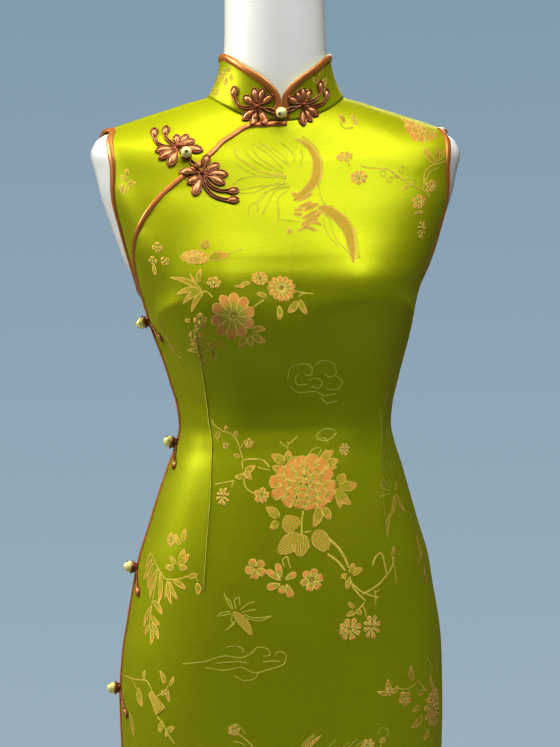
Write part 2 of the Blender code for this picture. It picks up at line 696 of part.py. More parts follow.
def armhole_loop(side):
    """Places round an armhole, just inside the panels' edge."""
    levels = [level for level in PANEL_LEVELS if UNDERARM <= level <= SHOULDER_TIP]
    inset = PIPING_WIDTH / 2
    lower, upper = UNDERARM - inset, SHOULDER_TIP + SHOULDER_PIPING_RISE
    places = [(turn_at(SIDE_SEAM_Y, lower, side), lower)]
    for level in levels[1:-1]:
        places.append((turn_at(armhole.read("front_y", level) - inset, level, side), level))
    places.append((turn_at(shoulder_seam_y(SHOULDER_TIP), upper, side), upper))
    for level in reversed(levels[1:-1]):
        places.append((turn_at(armhole.read("back_y", level) + inset, level, side), level))
    return places


def build_armhole_piping(name, side):
    places = armhole_loop(side)
    path = [skin(*place) for place in places]
    normals = [skin_normal(*place) for place in places]
    add_strip(name, path, normals, insides_of(path, normals, closed=True), PIPING_WIDTH, PIPING_HEIGHT,
              copper_material, closed=True)


# ---------------------------------------------------------------- frogs
def over_piping(distance):
    """How much higher than the cloth a piece lies at a distance from the middle of a binding."""
    return PIPING_TOP * (1 - smooth_step((distance - OVER_PIPING_FULL) / OVER_PIPING_FADE))


def laid_front(turn, level):
    """The front panel with its binding, as what lies across both rests on it."""
    point = front_skin(turn, level)
    return point + skin_normal(turn, level) * over_piping(distance_to_line(point, opening_piping_line))


def laid_collar(turn, part):
    """The collar with its binding, likewise."""
    point = collar_skin(turn, part)
    to_top = (collar_part(turn) - part) * (collar_top(turn) - collar_skin(turn, 0)).length
    near = min(abs(point.x), abs(to_top)) - PIPING_WIDTH / 2
    return point + collar_normal(turn, part) * over_piping(abs(near))


def meet(surface, guess, target, across, up):
    """The place on a surface that lies straight behind a target, seen square to across and up."""
    turn, level = guess
    for _ in range(25):
        here = surface(turn, level)
        off = target - here
        errors = np.array((off.dot(across), off.dot(up)))
        if np.abs(errors).max() < 2e-6:
            break
        by_turn = (surface(turn + 0.1, level) - here) / 0.1
        by_level = (surface(turn, level + 0.0005) - here) / 0.0005
        matrix = np.array(((by_turn.dot(across), by_level.dot(across)), (by_turn.dot(up), by_level.dot(up))))
        step = np.linalg.solve(matrix, errors)
        step *= min(1.0, 8 / abs(step[0]), abs(errors).max() * 12 / abs(step[1] * by_level.length))
        turn, level = turn + step[0], level + step[1]
    return turn, level


FRONT_ACROSS, FRONT_UP = Vector((1, 0, 0)), Vector((0, 0, 1))


class Patch:
    """A small flat frame on one or more surfaces, for pieces that are sewn on there."""

    def __init__(self, surfaces, guesses, place=None):
        self.surfaces = surfaces
        if place:
            target = Vector((place[0], 0, place[1]))
            guesses = [meet(s, g, target, FRONT_ACROSS, FRONT_UP) for s, g in zip(surfaces, guesses)]
        self.guesses = guesses
        points = [surface(*guess) for surface, guess in zip(surfaces, guesses)]
        first = min(range(len(points)), key=lambda i: points[i].y) if place else 0
        self.middle = points[first]
        self.out = normal_of(surfaces[first], *guesses[first], 0.001)
        self.across = Vector((0, 0, 1)).cross(self.out).normalized()
        self.up = self.out.cross(self.across)

    def at(self, u, w, off=0.0):
        """The outermost surface at u across and w up, and off metres out from it."""
        target = self.middle + self.across * u + self.up * w
        found = [
            surface(*meet(surface, guess, target, self.across, self.up))
            for surface, guess in zip(self.surfaces, self.guesses)
        ]
        return max(found, key=lambda point: (point - self.middle).dot(self.out)) + self.out * off


def petal_reach(angle, petals):
    """How far a flower's outline reaches at an angle: the longest petal there, or its core."""
    reach = FLOWER_CORE
    for direction, length, width in petals:
        turned = math.radians((angle - direction + 180) % 360 - 180)
        half = math.atan2(width / 2, length * 0.62)
        if abs(turned) < half:
            lobe = math.cos(turned / half * math.pi / 2) ** 0.6
            reach = max(reach, FLOWER_CORE + (length - FLOWER_CORE) * lobe)
    return reach


def build_flower(name, patch):
    """Petals of cord round a core, as low domes on one sewn-on piece."""
    steps = FLOWER_STEPS
    angles = [math.radians(360 * i / steps) for i in range(steps)]
    reaches = [petal_reach(360 * i / steps, FLOWER_PETALS[name]) for i in range(steps)]
    rings = (*FLOWER_DOME, (1.0, 0.0), (0.5, 0.0))
    points = [
        patch.at(reach * part * math.cos(angle), reach * part * math.sin(angle),
                 LAY_GAP + FLOWER_HEIGHT * height)
        for part, height in rings
        for angle, reach in zip(angles, reaches)
    ]
    count = len(points)
    points += [patch.at(0, 0, LAY_GAP + FLOWER_HEIGHT), patch.at(0, 0, LAY_GAP)]
    faces = grid_faces(len(rings), steps, closed=True)
    last = (len(rings) - 1) * steps
    faces += [(count, i, (i + 1) % steps) for i in range(steps)]
    faces += [(count + 1, last + (i + 1) % steps, last + i) for i in range(steps)]
    add_mesh(name, points, faces, copper_material)


def smooth_path(points, count):
    """A smooth line through a few points, each a pair."""
    ends = np.cumsum([0] + [math.dist(a, b) for a, b in zip(points, points[1:])])
    table = Table(("along", "u", "w"), [(end, *point) for end, point in zip(ends, points)])
    return [(table.read("u", x), table.read("w", x)) for x in np.linspace(0, ends[-1], count + 1)]


def build_tendril(name, patch):
    path = smooth_path(TENDRILS[name], TENDRIL_STEPS)
    points = [patch.at(u, w, LAY_GAP + CORD / 2) for u, w in path]
    add_tube(name.replace("flower", "tendril"), points, CORD, copper_material)


def take(name, material):
    """Name the primitive just added, and put it with the garment."""
    made = bpy.context.object
    made.name = made.data.name = name
    for old in list(made.users_collection):
        old.objects.unlink(made)
    garment.objects.link(made)
    made.data.materials.append(material)
    made.data.shade_smooth()


def build_bead(name, foot, out):
    """A bead in a loop of cord, standing out from its foot."""
    turned = out.to_track_quat("Z", "Y").to_euler()
    loop = foot + out * (CORD / 2)
    bpy.ops.mesh.primitive_torus_add(
        major_segments=14, minor_segments=6, major_radius=LOOP_RADIUS, minor_radius=CORD / 2,
        location=loop, rotation=turned,
    )
    take(name + "_loop", copper_material)
    rise = math.sqrt((BEAD / 2 + CORD / 2 + SEAM_GAP) ** 2 - LOOP_RADIUS**2)
    bpy.ops.mesh.primitive_uv_sphere_add(
        segments=12, ring_count=8, radius=BEAD / 2, location=loop + out * rise, rotation=turned
    )
    take(name, jade_material)


def build_flower_frogs():
    """Two pairs of flower frogs: one on the collar's ends, one across the curved opening."""
    collar_surfaces = (laid_collar, laid_front)
    near_collar_end = ((0.0, 0.4), (0.0, NECK_SEAM))  # where the search for a place starts
    near_opening = ((-28.0, 1.300),)
    for name, place in COLLAR_FLOWERS.items():
        patch = Patch(collar_surfaces, near_collar_end, place)
        build_flower(name, patch)
        build_tendril(name, patch)
    patch = Patch(collar_surfaces, near_collar_end, COLLAR_BEAD_PLACE)
    build_bead("collar_bead", patch.at(0, 0, LAY_GAP), patch.out)
    for name, place in CHEST_FLOWERS.items():
        patch = Patch((skin if name.endswith("upper") else laid_front,), near_opening, place)
        build_flower(name, patch)
        build_tendril(name, patch)
    patch = Patch((skin,), near_opening, CHEST_BEAD_PLACE)
    build_bead("chest_bead", patch.at(0, 0, LAY_GAP), patch.out)


def build_side_frogs():
    """Four straight frogs down the side opening, each with a strap in front and one behind."""
    for number, level in enumerate(SIDE_FROG_LEVELS, start=1):
        seam = opening_edge(level)
        patch = Patch((laid_front,), ((seam + turn_step(seam, level, PIPING_WIDTH / 2), level),))
        build_bead(f"side_bead_{number}", patch.at(0, 0, LAY_GAP), patch.out)
        reach = LOOP_RADIUS + CORD / 2 + SEAM_GAP
        steps = [reach + (STRAP_LENGTH - reach) * i / STRAP_STEPS for i in range(STRAP_STEPS + 1)]
        for word, side in (("front", 1), ("back", -1)):
            path, normals = [], []
            for along in steps:
                drop = STRAP_DROP * (along / STRAP_LENGTH) ** 1.5
                target = patch.middle + patch.across * (side * along) - patch.up * drop
                place = meet(laid_front, patch.guesses[0], target, patch.across, patch.up)
                path.append(laid_front(*place))
                normals.append(skin_normal(*place))
            name = f"side_strap_{word}_{number}"
            add_strip(name, path, normals, insides_of(path, normals), STRAP_WIDTH, STRAP_HEIGHT,
                      copper_material)


# ---------------------------------------------------------------- the whole
clear_scene()
garment = bpy.data.collections.new("cheongsam_on_dress_form")
bpy.context.scene.collection.children.link(garment)
lime_material = make_material("lime_satin", LIME_SATIN, 0.45)
copper_material = make_material("copper_satin", COPPER_SATIN, 0.40)
jade_material = make_material("jade_bead", JADE, 0.25)
form_material = make_material("form_white", FORM_WHITE, 0.35)
steel_material = make_material("brushed_steel", STEEL, 0.30, 1.0)

build_form()
build_stand()
build_front_panel()
build_small_piece()
build_back_panel()
build_collar()
build_collar_piping()
build_opening_piping()
build_armhole_piping("armhole_piping_right", -1)
build_armhole_piping("armhole_piping_left", 1)
build_flower_frogs()
build_side_frogs()
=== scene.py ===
# %% [markdown]
# # A cheongsam on a dress form
# A cheongsam is a close-fitting dress of silk brocade with a stand collar, an opening that curves from
# the collar to one armpit, and frogs: fastenings of satin cord with a bead and a loop. It stands here on
# a limbless form with a pole. Its solids come packed. This notebook gives them cloth, thread, cord and light.
#
# Every piece is measured in metres in the frame of those solids, so nothing has to be fitted afterwards.

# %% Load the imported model
import math

import bmesh
import bpy
import numpy as np
from mathutils import Euler, Matrix, Vector
from mathutils.bvhtree import BVHTree


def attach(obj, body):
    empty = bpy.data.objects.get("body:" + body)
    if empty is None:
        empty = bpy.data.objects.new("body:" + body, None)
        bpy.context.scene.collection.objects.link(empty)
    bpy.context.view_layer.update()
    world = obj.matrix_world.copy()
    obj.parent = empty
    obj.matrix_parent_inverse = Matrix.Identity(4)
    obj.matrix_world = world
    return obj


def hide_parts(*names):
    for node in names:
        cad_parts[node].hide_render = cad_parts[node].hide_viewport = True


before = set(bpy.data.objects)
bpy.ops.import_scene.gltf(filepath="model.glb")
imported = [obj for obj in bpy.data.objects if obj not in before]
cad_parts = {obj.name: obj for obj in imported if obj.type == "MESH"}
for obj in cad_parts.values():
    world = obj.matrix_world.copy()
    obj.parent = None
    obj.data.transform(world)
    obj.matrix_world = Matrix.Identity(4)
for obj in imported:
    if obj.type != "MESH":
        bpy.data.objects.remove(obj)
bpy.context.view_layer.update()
scene = bpy.context.scene
MM = 0.001

# %% [markdown]
# ## Helpers for colour and materials
# Colours are written as hex, as in a paint program. Blender mixes light in linear numbers, so one function
# turns a hex value into those. Materials are built from nodes, and one function adds a node of any kind.

# %% Colour and node helpers
def linear(hex_colour):
    """An sRGB hex value as linear red, green, blue and alpha."""
    parts = [int(hex_colour[i:i + 2], 16) / 255 for i in (1, 3, 5)]
    return (*[c / 12.92 if c <= 0.04045 else ((c + 0.055) / 1.055) ** 2.4 for c in parts], 1.0)


def connect(node, links):
    """Feeds inputs of a node, each from a socket or from the first output of another node."""
    for name, source in dict(links).items():
        socket = source.outputs[0] if isinstance(source, bpy.types.Node) else source
        node.id_data.links.new(socket, node.inputs[name])


def add_node(tree, kind, inputs=(), links=(), **settings):
    """A shader node with its settings, the values of its inputs, and what feeds them."""
    node = tree.nodes.new("ShaderNode" + kind)
    for name, value in settings.items():
        setattr(node, name, value)
    for name, value in dict(inputs).items():
        node.inputs[name].default_value = value
    connect(node, links)
    return node


def new_material(name, shader_values):
    """A material with one Principled shader: its node tree, the shader, and itself."""
    made = bpy.data.materials.new(name)
    made.use_nodes = True
    shader = made.node_tree.nodes["Principled BSDF"]
    for key, value in shader_values.items():
        shader.inputs[key].default_value = value
    return made, made.node_tree, shader


print("lime as linear numbers:", [round(c, 3) for c in linear("#C3CE12")])

# %% [markdown]
# ## Camera
# The dress is seen at the height of the waist, a little from the wearer's right, from two metres away.
# A long lens keeps the figure's proportions. The camera is turned by less than a degree about its own
# axis, because the stand leans by that much.

# %% Camera
AZIMUTH, DISTANCE, AIM, LENS, ROLL = -6.0, 2.0, (0.0, 0.0, 1.051), 87.6, -0.9

turn_round = math.radians(AZIMUTH)
camera = bpy.data.objects.new("camera", bpy.data.cameras.new("camera"))
scene.collection.objects.link(camera)
camera.data.lens, camera.data.sensor_width = LENS, 36.0
camera.location = Vector(AIM) + Vector((math.sin(turn_round), -math.cos(turn_round), 0)) * DISTANCE
aim = Euler((math.pi / 2, 0, turn_round)).to_matrix() @ Matrix.Rotation(math.radians(ROLL), 3, "Z")
camera.rotation_euler = aim.to_euler()
scene.camera = camera
print("camera at", [round(x, 3) for x in camera.location])

# %% [markdown]
# ## Light, backdrop and floor
# Satin shows its shape by where light leaves it, so the main lamp hangs almost straight above. It lights
# shoulders and chest and leaves what lies under the bust dark. It is long from side to side, so that its
# gleam spreads across the chest, and narrow from front to back, so that shadows stay crisp downwards. Two
# soft lamps fill in from high in front and from the side. The backdrop is the world itself, seen by the
# camera only, and a weak even glow stands for the rest of the room.

# %% Lamps
def add_lamp(name, place, target, size, power, colour):
    lamp = bpy.data.objects.new(name, bpy.data.lights.new(name, "AREA"))
    scene.collection.objects.link(lamp)
    lamp.data.shape, lamp.data.energy = "RECTANGLE", power
    lamp.data.size, lamp.data.size_y = size
    lamp.data.color = linear(colour)[:3]
    lamp.location = place
    lamp.rotation_euler = (Vector(target) - Vector(place)).to_track_quat("-Z", "Y").to_euler()
    return lamp


add_lamp("lamp_above", (-0.05, -0.76, 3.54), (0.0, -0.05, 1.1), (3.4, 0.35), 75.0, "#FFF5E2")
add_lamp("lamp_side", (-2.0, 0.10, 2.30), (0.0, 0.0, 0.9), (0.8, 0.8), 47.0, "#FFFDF4")
add_lamp("lamp_front", (0.8, -2.00, 3.20), (0.0, 0.0, 1.0), (1.1, 1.1), 42.0, "#F4F8FF")
add_lamp("lamp_back", (0.8, 2.40, 2.60), (0.0, 0.0, 1.0), (1.0, 1.0), 20.0, "#FFFFFF")

# %% World and floor
BACKDROP_LOW, BACKDROP_HIGH, ROOM_GLOW = "#B4C4CF", "#9FB4C3", "#C9D4E0"

world = bpy.data.worlds.new("studio")
scene.world = world
world.use_nodes = True
tree = world.node_tree
tree.nodes.clear()
view = add_node(tree, "TexCoord")
height = add_node(tree, "SeparateXYZ", links={0: view.outputs["Generated"]})
rise = add_node(tree, "MapRange", {"From Min": -0.2, "From Max": 0.2}, {"Value": height.outputs["Z"]})
blend = add_node(tree, "Mix", {6: linear(BACKDROP_LOW), 7: linear(BACKDROP_HIGH)},
                 {0: rise}, data_type="RGBA")
backdrop = add_node(tree, "Background", links={"Color": blend.outputs[2]})
glow = add_node(tree, "Background", {"Color": linear(ROOM_GLOW), "Strength": 0.03})
rays = add_node(tree, "LightPath")
mixed = add_node(tree, "MixShader", links={0: rays.outputs["Is Camera Ray"], 1: glow, 2: backdrop})
add_node(tree, "OutputWorld", links={"Surface": mixed})
scene.view_settings.view_transform = "Standard"
# In strong light satin has deep shadows, and a gamma below 1 deepens them.
scene.view_settings.gamma = 0.70

floor_paint, tree, shader = new_material("matt_floor_paint", {
    "Base Color": linear("#C9CBCC"), "Roughness": 0.85})
grain = add_node(tree, "TexNoise", {"Scale": 90.0, "Detail": 3.0})
uneven = add_node(tree, "Bump", {"Strength": 0.05, "Distance": 0.001}, {"Height": grain})
connect(shader, {"Normal": uneven})
bpy.ops.object.select_all(action="DESELECT")
# Its top lies a tenth of a millimetre low, so that the foot's underside and the floor are never one plane.
bpy.ops.mesh.primitive_cylinder_add(vertices=96, radius=2.3, depth=0.02, location=(0, 0, -0.0101))
floor = bpy.context.object
floor.name = "floor"
floor.data.materials.append(floor_paint)
print("floor at", floor.location.z + 0.01)

# %% [markdown]
# ## The figure
# The dress follows one smooth figure, a stack of rounded rings. A place on it has two numbers: turn, the
# angle round the body (0 centre front, 90 wearer's left, 180 centre back), and level, the height at which
# its ring passes the wearer's side. The tables repeat the values that the solids were made from, because
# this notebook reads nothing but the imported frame.

# %% Tables of the figure
def numbers(text, columns):
    """Rows of numbers from plain text."""
    return np.array(text.split(), float).reshape(-1, columns)


# Rings up to just over the waist lie level and are equally full in front and behind, so they need only
# level, half_width, front, back and centre_x. The hem is at 0.240, the widest hip at 0.700 and the
# waist at 0.995.
LEVEL_FULLNESS = 0.12
LEVEL_RINGS = numbers("""
    0.240 0.1600 0.0980 0.1120 -0.0030
    0.420 0.1670 0.1010 0.1160 -0.0030
    0.600 0.1735 0.1040 0.1210 -0.0030
    0.700 0.1765 0.1060 0.1250 -0.0030
    0.750 0.1745 0.1070 0.1270 -0.0015
    0.785 0.1700 0.1075 0.1265 0.0000
    0.820 0.1640 0.1075 0.1230 0.0004
    0.850 0.1585 0.1070 0.1180 0.0012
    0.885 0.1480 0.1055 0.1095 0.0020
    0.920 0.1375 0.1030 0.1005 0.0028
    0.950 0.1280 0.1000 0.0930 0.0040
    0.975 0.1195 0.0965 0.0870 0.0050
    0.995 0.1155 0.0945 0.0840 0.0055
    1.016 0.1175 0.0950 0.0835 0.0055""", 5)
# Higher up a ring dips or rises in front and behind: level, half_width, front, back, the heights front_z and
# back_z, the fullness in front and behind, and centre_x. The bust is at 1.126, the shoulder cap at 1.297.
UPPER_RINGS = numbers("""
    1.045 0.1250 0.0990 0.0850 1.045 1.045 0.14 0.12 0.0050
    1.075 0.1330 0.1060 0.0880 1.075 1.075 0.18 0.12 0.0048
    1.100 0.1400 0.1130 0.0910 1.100 1.100 0.22 0.14 0.0035
    1.126 0.1470 0.1200 0.0945 1.126 1.126 0.25 0.15 0.0012
    1.148 0.1550 0.1215 0.0970 1.146 1.148 0.25 0.17 -0.0005
    1.180 0.1675 0.1150 0.1000 1.170 1.180 0.25 0.20 0.0000
    1.214 0.1790 0.1060 0.1020 1.195 1.214 0.25 0.22 0.0000
    1.247 0.1900 0.0970 0.1010 1.222 1.247 0.24 0.22 0.0000
    1.275 0.1965 0.0875 0.0970 1.246 1.277 0.22 0.22 0.0000
    1.297 0.2020 0.0800 0.0900 1.265 1.300 0.20 0.20 0.0000
    1.309 0.1990 0.0760 0.0855 1.275 1.313 0.18 0.18 0.0000
    1.317 0.1890 0.0730 0.0820 1.281 1.321 0.16 0.16 0.0000
    1.322 0.1770 0.0710 0.0790 1.285 1.327 0.15 0.15 0.0000
    1.330 0.1530 0.0680 0.0735 1.292 1.336 0.12 0.12 0.0000
    1.338 0.1280 0.0655 0.0670 1.299 1.346 0.08 0.08 0.0000
    1.347 0.1000 0.0620 0.0595 1.309 1.356 0.05 0.05 0.0000
    1.355 0.0750 0.0580 0.0520 1.321 1.366 0.03 0.03 0.0000
    1.366 0.0665 0.0565 0.0490 1.339 1.378 0.02 0.02 0.0000
    1.382 0.0620 0.0575 0.0480 1.362 1.392 0.02 0.02 0.0000
    1.401 0.0600 0.0585 0.0475 1.389 1.408 0.02 0.02 0.0000
    1.430 0.0588 0.0600 0.0465 1.424 1.434 0.02 0.02 0.0000
    1.462 0.0583 0.0615 0.0450 1.460 1.464 0.02 0.02 0.0000
    1.500 0.0583 0.0630 0.0435 1.500 1.500 0.02 0.02 0.0000""", 9)
RINGS = [(level, half_width, front, back, level, level, LEVEL_FULLNESS, LEVEL_FULLNESS, centre_x)
         for level, half_width, front, back, centre_x in LEVEL_RINGS] + UPPER_RINGS.tolist()
ARMHOLE = numbers("""
    1.143 0.004 0.004   1.150 -0.012 0.020   1.163 -0.023 0.031   1.182 -0.031 0.041   1.205 -0.037 0.049
    1.235 -0.042 0.054   1.262 -0.046 0.056   1.285 -0.047 0.053   1.300 -0.043 0.044   1.310 -0.036 0.030
    1.316 -0.028 0.010   1.3178 -0.024 -0.005   1.319 -0.020 -0.020""", 3)
OPENING = numbers("""
    1.108 -92.0   1.117 -87.0   1.127 -82.5   1.142 -77.0   1.165 -70.0   1.199 -56.6   1.238 -42.2
    1.260 -35.3   1.283 -27.9   1.304 -21.8   1.318 -20.8   1.333 -23.0   1.344 -23.2   1.349 -20.4
    1.3515 -9.8   1.355 3.0""", 2)
HEM, SLIT_TOP, UNDERARM, SHOULDER_TIP, NECK_SEAM, NECK_TOP = 0.240, 0.620, 1.143, 1.319, 1.355, 1.500
OPENING_LOW, FORM_BOTTOM = 1.108, 0.660
CLOTH_WALL, COLLAR_WALL, SEAM_GAP = 0.0012, 0.0016, 0.0003


def slopes(x, y):
    """Slopes that make a smooth curve through a table with no overshoot."""
    step, rise = np.diff(x), np.diff(y) / np.diff(x)
    found = np.zeros(len(x))
    found[0], found[-1] = rise[0], rise[-1]
    for i in range(1, len(x) - 1):
        if rise[i - 1] * rise[i] > 0:
            before, after = 2 * step[i] + step[i - 1], step[i] + 2 * step[i - 1]
            found[i] = (before + after) / (before / rise[i - 1] + after / rise[i])
    return found


class Table:
    """Smooth columns over the first column of a short table."""

    def __init__(self, columns, rows):
        self.x, *data = np.array(rows, float).T
        self.columns = {name: (y, slopes(self.x, y)) for name, y in zip(columns.split()[1:], data)}

    def read(self, name, x):
        y, slope = self.columns[name]
        i = np.clip(np.searchsorted(self.x, x) - 1, 0, len(self.x) - 2)
        step = self.x[i + 1] - self.x[i]
        t = (x - self.x[i]) / step
        rest = 1 - t
        return (rest * rest * (1 + 2 * t) * y[i] + t * t * (3 - 2 * t) * y[i + 1]
                + step * t * rest * (rest * slope[i] - t * slope[i + 1]))


figure = Table("level half_width front back front_z back_z front_full back_full centre_x", RINGS)
armhole = Table("level front_y back_y", ARMHOLE)
opening = Table("level turn", OPENING)
print("waist is", round(2 * float(figure.read("half_width", 0.995)), 3), "m wide")

# %% The figure's skin
def smooth_step(t):
    t = np.clip(t, 0.0, 1.0)
    return t * t * (3 - 2 * t)


def unit(vectors):
    return vectors / np.linalg.norm(vectors, axis=-1, keepdims=True)


def run_of(points):
    """How far each point of a line lies from its first one, along the line."""
    return np.concatenate([[0], np.cumsum(np.linalg.norm(np.diff(points, axis=0), axis=1))])


BUST_OUT, BUST_ACROSS, BUST_WIDTH, BUST_LEVEL = 0.013, 0.082, 0.048, 1.130
SPREAD_ABOVE, SPREAD_BELOW = 0.055, 0.040


def bust(x, z):
    """How far the bust stands out, on both sides of the middle."""
    spread = np.where(z > BUST_LEVEL, SPREAD_ABOVE, SPREAD_BELOW)
    sideways, upwards = (np.abs(x) - BUST_ACROSS) / BUST_WIDTH, (z - BUST_LEVEL) / spread
    return BUST_OUT * np.exp(-(sideways**2) - upwards**2)


def skin(turn, level):
    """Points on the cloth's outer face, for numbers or arrays."""
    turn, level = np.broadcast_arrays(np.asarray(turn, float), np.asarray(level, float))
    row = {name: figure.read(name, level) for name in figure.columns}
    sine, cosine = np.sin(np.radians(turn)), np.cos(np.radians(turn))
    ahead = cosine > 0
    depth = np.where(ahead, row["front"], row["back"])
    full = np.where(ahead, row["front_full"], row["back_full"])
    x = row["half_width"] * sine * (1 + full * cosine**2)
    y = -depth * cosine * (1 + full * sine**2)
    z = level + (np.where(ahead, row["front_z"], row["back_z"]) - level) * np.abs(cosine) ** 1.8
    y = y - np.where(ahead, bust(x, z), 0.0)
    return np.stack((x + row["centre_x"], y, z), axis=-1)


def normal_of(surface, turn, up, step_up=0.0003):
    """Outward normals of a surface whose first value is a turn and whose second one runs up."""
    across = surface(turn + 0.05, up) - surface(turn - 0.05, up)
    rise = surface(turn, up + step_up) - surface(turn, up - step_up)
    return unit(np.cross(across, rise))


def distance_to_line(points, line):
    """How far points are from a line of points, and how far along it they lie, from 0 to 1."""
    best = np.full(points.shape[:-1], np.inf)
    along = np.zeros(points.shape[:-1])
    run = run_of(line)
    for i, (start, end) in enumerate(zip(line, line[1:])):
        part = np.clip(((points - start) @ (end - start)) / max(run[i + 1] - run[i], 1e-9) ** 2, 0, 1)
        off = np.linalg.norm(start + (end - start) * part[..., None] - points, axis=-1)
        nearer = off < best
        best = np.where(nearer, off, best)
        along = np.where(nearer, run[i] + (run[i + 1] - run[i]) * part, along)
    return best, along / run[-1]


opening_levels = np.linspace(OPENING_LOW, NECK_SEAM, 40)
opening_line = skin(opening.read("turn", opening_levels), opening_levels)
# Cloth hangs from the bust and bridges the hollow under it, more on the wearer's right.
HANG_LOW, HANG_HIGH = 1.015, 1.245
hang = Table("level out", numbers("""
    1.015 0   1.055 0.0045   1.085 0.0078   1.099 0.0074   1.124 0.0026   1.140 0.0004   1.149 0
    1.157 0.0006   1.174 0.0026   1.191 0.0032   1.245 0""", 2))
HANG_AHEAD, HANG_LEFT = (-0.045, -0.085), (0.100, -0.020)  # y and x: where it starts and is full
# Along the opening the front lies on the small front piece, and comes down to the figure beyond it.
PIECE_LIFT, LIFT_NEAR, LIFT_FADE = 0.0018, 0.016, 0.044


def front_lift(points):
    """How far the front stands off the figure, over the small front piece and under the bust."""
    near, _ = distance_to_line(points, opening_line)
    bridged = 1.0
    for place, (start, full) in ((points[..., 1], HANG_AHEAD), (points[..., 0], HANG_LEFT)):
        bridged = bridged * smooth_step((place - start) / (full - start))
    return (PIECE_LIFT * (1 - smooth_step((near - LIFT_NEAR) / LIFT_FADE))
            + hang.read("out", np.clip(points[..., 2], HANG_LOW, HANG_HIGH)) * bridged)


def front_skin(turn, level):
    points = skin(turn, level)
    return points + normal_of(skin, turn, level) * front_lift(points)[..., None]


print("centre front at the bust:", skin(0, 1.126).round(4))

# %% Edges of the panels
SEAM_Y, SHOULDER_Y, SHOULDER_SLANT, SLIT_OPENS = 0.004, -0.020, 0.008, 0.006


def turn_at(y, level, side):
    """The turn where a ring passes y, on the wearer's left (side 1) or right (side -1)."""
    low, high = np.zeros_like(level), np.full_like(level, 180.0)
    for _ in range(30):
        middle = (low + high) / 2
        ahead = skin(middle, level)[..., 1] < y
        low, high = np.where(ahead, middle, low), np.where(ahead, high, middle)
    return side * low


def side_edge(level, side, which):
    """A panel's side edge: seam or slit, then armhole, then shoulder seam."""
    away = -1 if which == "front" else 1
    half_gap = SEAM_GAP / 2
    slit = half_gap + SLIT_OPENS * smooth_step((SLIT_TOP - level) / (SLIT_TOP - HEM))
    shoulder = SHOULDER_Y + SHOULDER_SLANT * (level - SHOULDER_TIP) / (NECK_SEAM - SHOULDER_TIP)
    upper = np.where(level < SHOULDER_TIP, armhole.read(which + "_y", level), shoulder)
    y = np.where(level < UNDERARM, SEAM_Y + away * slit, upper + away * half_gap)
    return turn_at(y, level, side)


def opening_edge(level):
    """The front panel's edge on the wearer's right."""
    seam = side_edge(level, -1, "front")
    return np.where(level <= OPENING_LOW, seam, np.maximum(seam, opening.read("turn", level)))


def turn_step(turn, level, distance):
    """How many degrees of turn cover a distance along the ring."""
    return distance / np.linalg.norm(skin(turn + 0.5, level) - skin(turn - 0.5, level), axis=-1)


print("side seam at the hip, turn", turn_at(SEAM_Y, np.array([0.7]), 1).round(1))

# %% [markdown]
# ## Measuring cloth along the figure
# A cutter thinks in distances on the cloth and not in angles. A chart gives, for each ring, the distance
# along the cloth from centre front or centre back, so that creases and flowers can be placed in
# millimetres. Its tables are read with straight-line interpolation, which is quick and exact enough.

# %% Chart
def bilinear(grid, row, column):
    """Values of a grid between its rows and columns."""
    row = np.clip(row, 0, grid.shape[0] - 1.0001)
    column = np.clip(column, 0, grid.shape[1] - 1.0001)
    r, c = np.floor(row).astype(int), np.floor(column).astype(int)
    v, u = row - r, column - c
    if grid.ndim > 2:
        v, u = v[..., None], u[..., None]
    return (grid[r, c] * (1 - v) * (1 - u) + grid[r, c + 1] * (1 - v) * u
            + grid[r + 1, c] * v * (1 - u) + grid[r + 1, c + 1] * v * u)


class Chart:
    """Distances along the rings from a middle turn, over 130 degrees to both sides."""

    SPAN, STEP = 130, 0.002

    def __init__(self, middle):
        self.levels = np.linspace(HEM, NECK_SEAM, 320)
        self.turns = middle + np.arange(-self.SPAN, self.SPAN + 1.0)
        steps = np.linalg.norm(np.diff(skin(self.turns, self.levels[:, None]), axis=1), axis=2)
        self.run = np.concatenate([np.zeros((len(steps), 1)), np.cumsum(steps, axis=1)], axis=1)
        self.run -= self.run[:, self.SPAN][:, None]
        self.distances = np.arange(-0.36, 0.3601, self.STEP)
        self.inverse = np.array([np.interp(self.distances, row, self.turns) for row in self.run])

    def row(self, level):
        return (level - HEM) / (NECK_SEAM - HEM) * (len(self.levels) - 1)

    def turn_of(self, across, level):
        return bilinear(self.inverse, self.row(level), (across - self.distances[0]) / self.STEP)

    def across_of(self, turn, level):
        return bilinear(self.run, self.row(level), turn - self.turns[0])


front_chart, back_chart = Chart(0.0), Chart(180.0)
print("hip, centre front to side:", front_chart.across_of(np.array([90.0]), np.array([0.7])).round(4), "m")

# %% [markdown]
# ## Cloth panels
# A tailored panel is a thin wall on the figure. Its outer face carries the creases, so it gets a fine grid
# of about three millimetres. Nobody studies its inner face, so that grid is twice as coarse, and the rim
# joins the two. Close to an edge the cloth turns under, which draws the seams as fine grooves.

# %% Meshes from points and faces
def grid_faces(rows, columns, closed=False):
    """Quads between rows of points. Seen from outside, a row runs to the right, and the rows go up."""
    across = columns if closed else columns - 1
    row, column = np.meshgrid(np.arange(rows - 1), np.arange(across), indexing="ij")
    after = (column + 1) % columns
    corners = (row * columns + column, row * columns + after, (row + 1) * columns + after,
               (row + 1) * columns + column)
    return np.stack(corners, axis=-1).reshape(-1, 4).tolist()


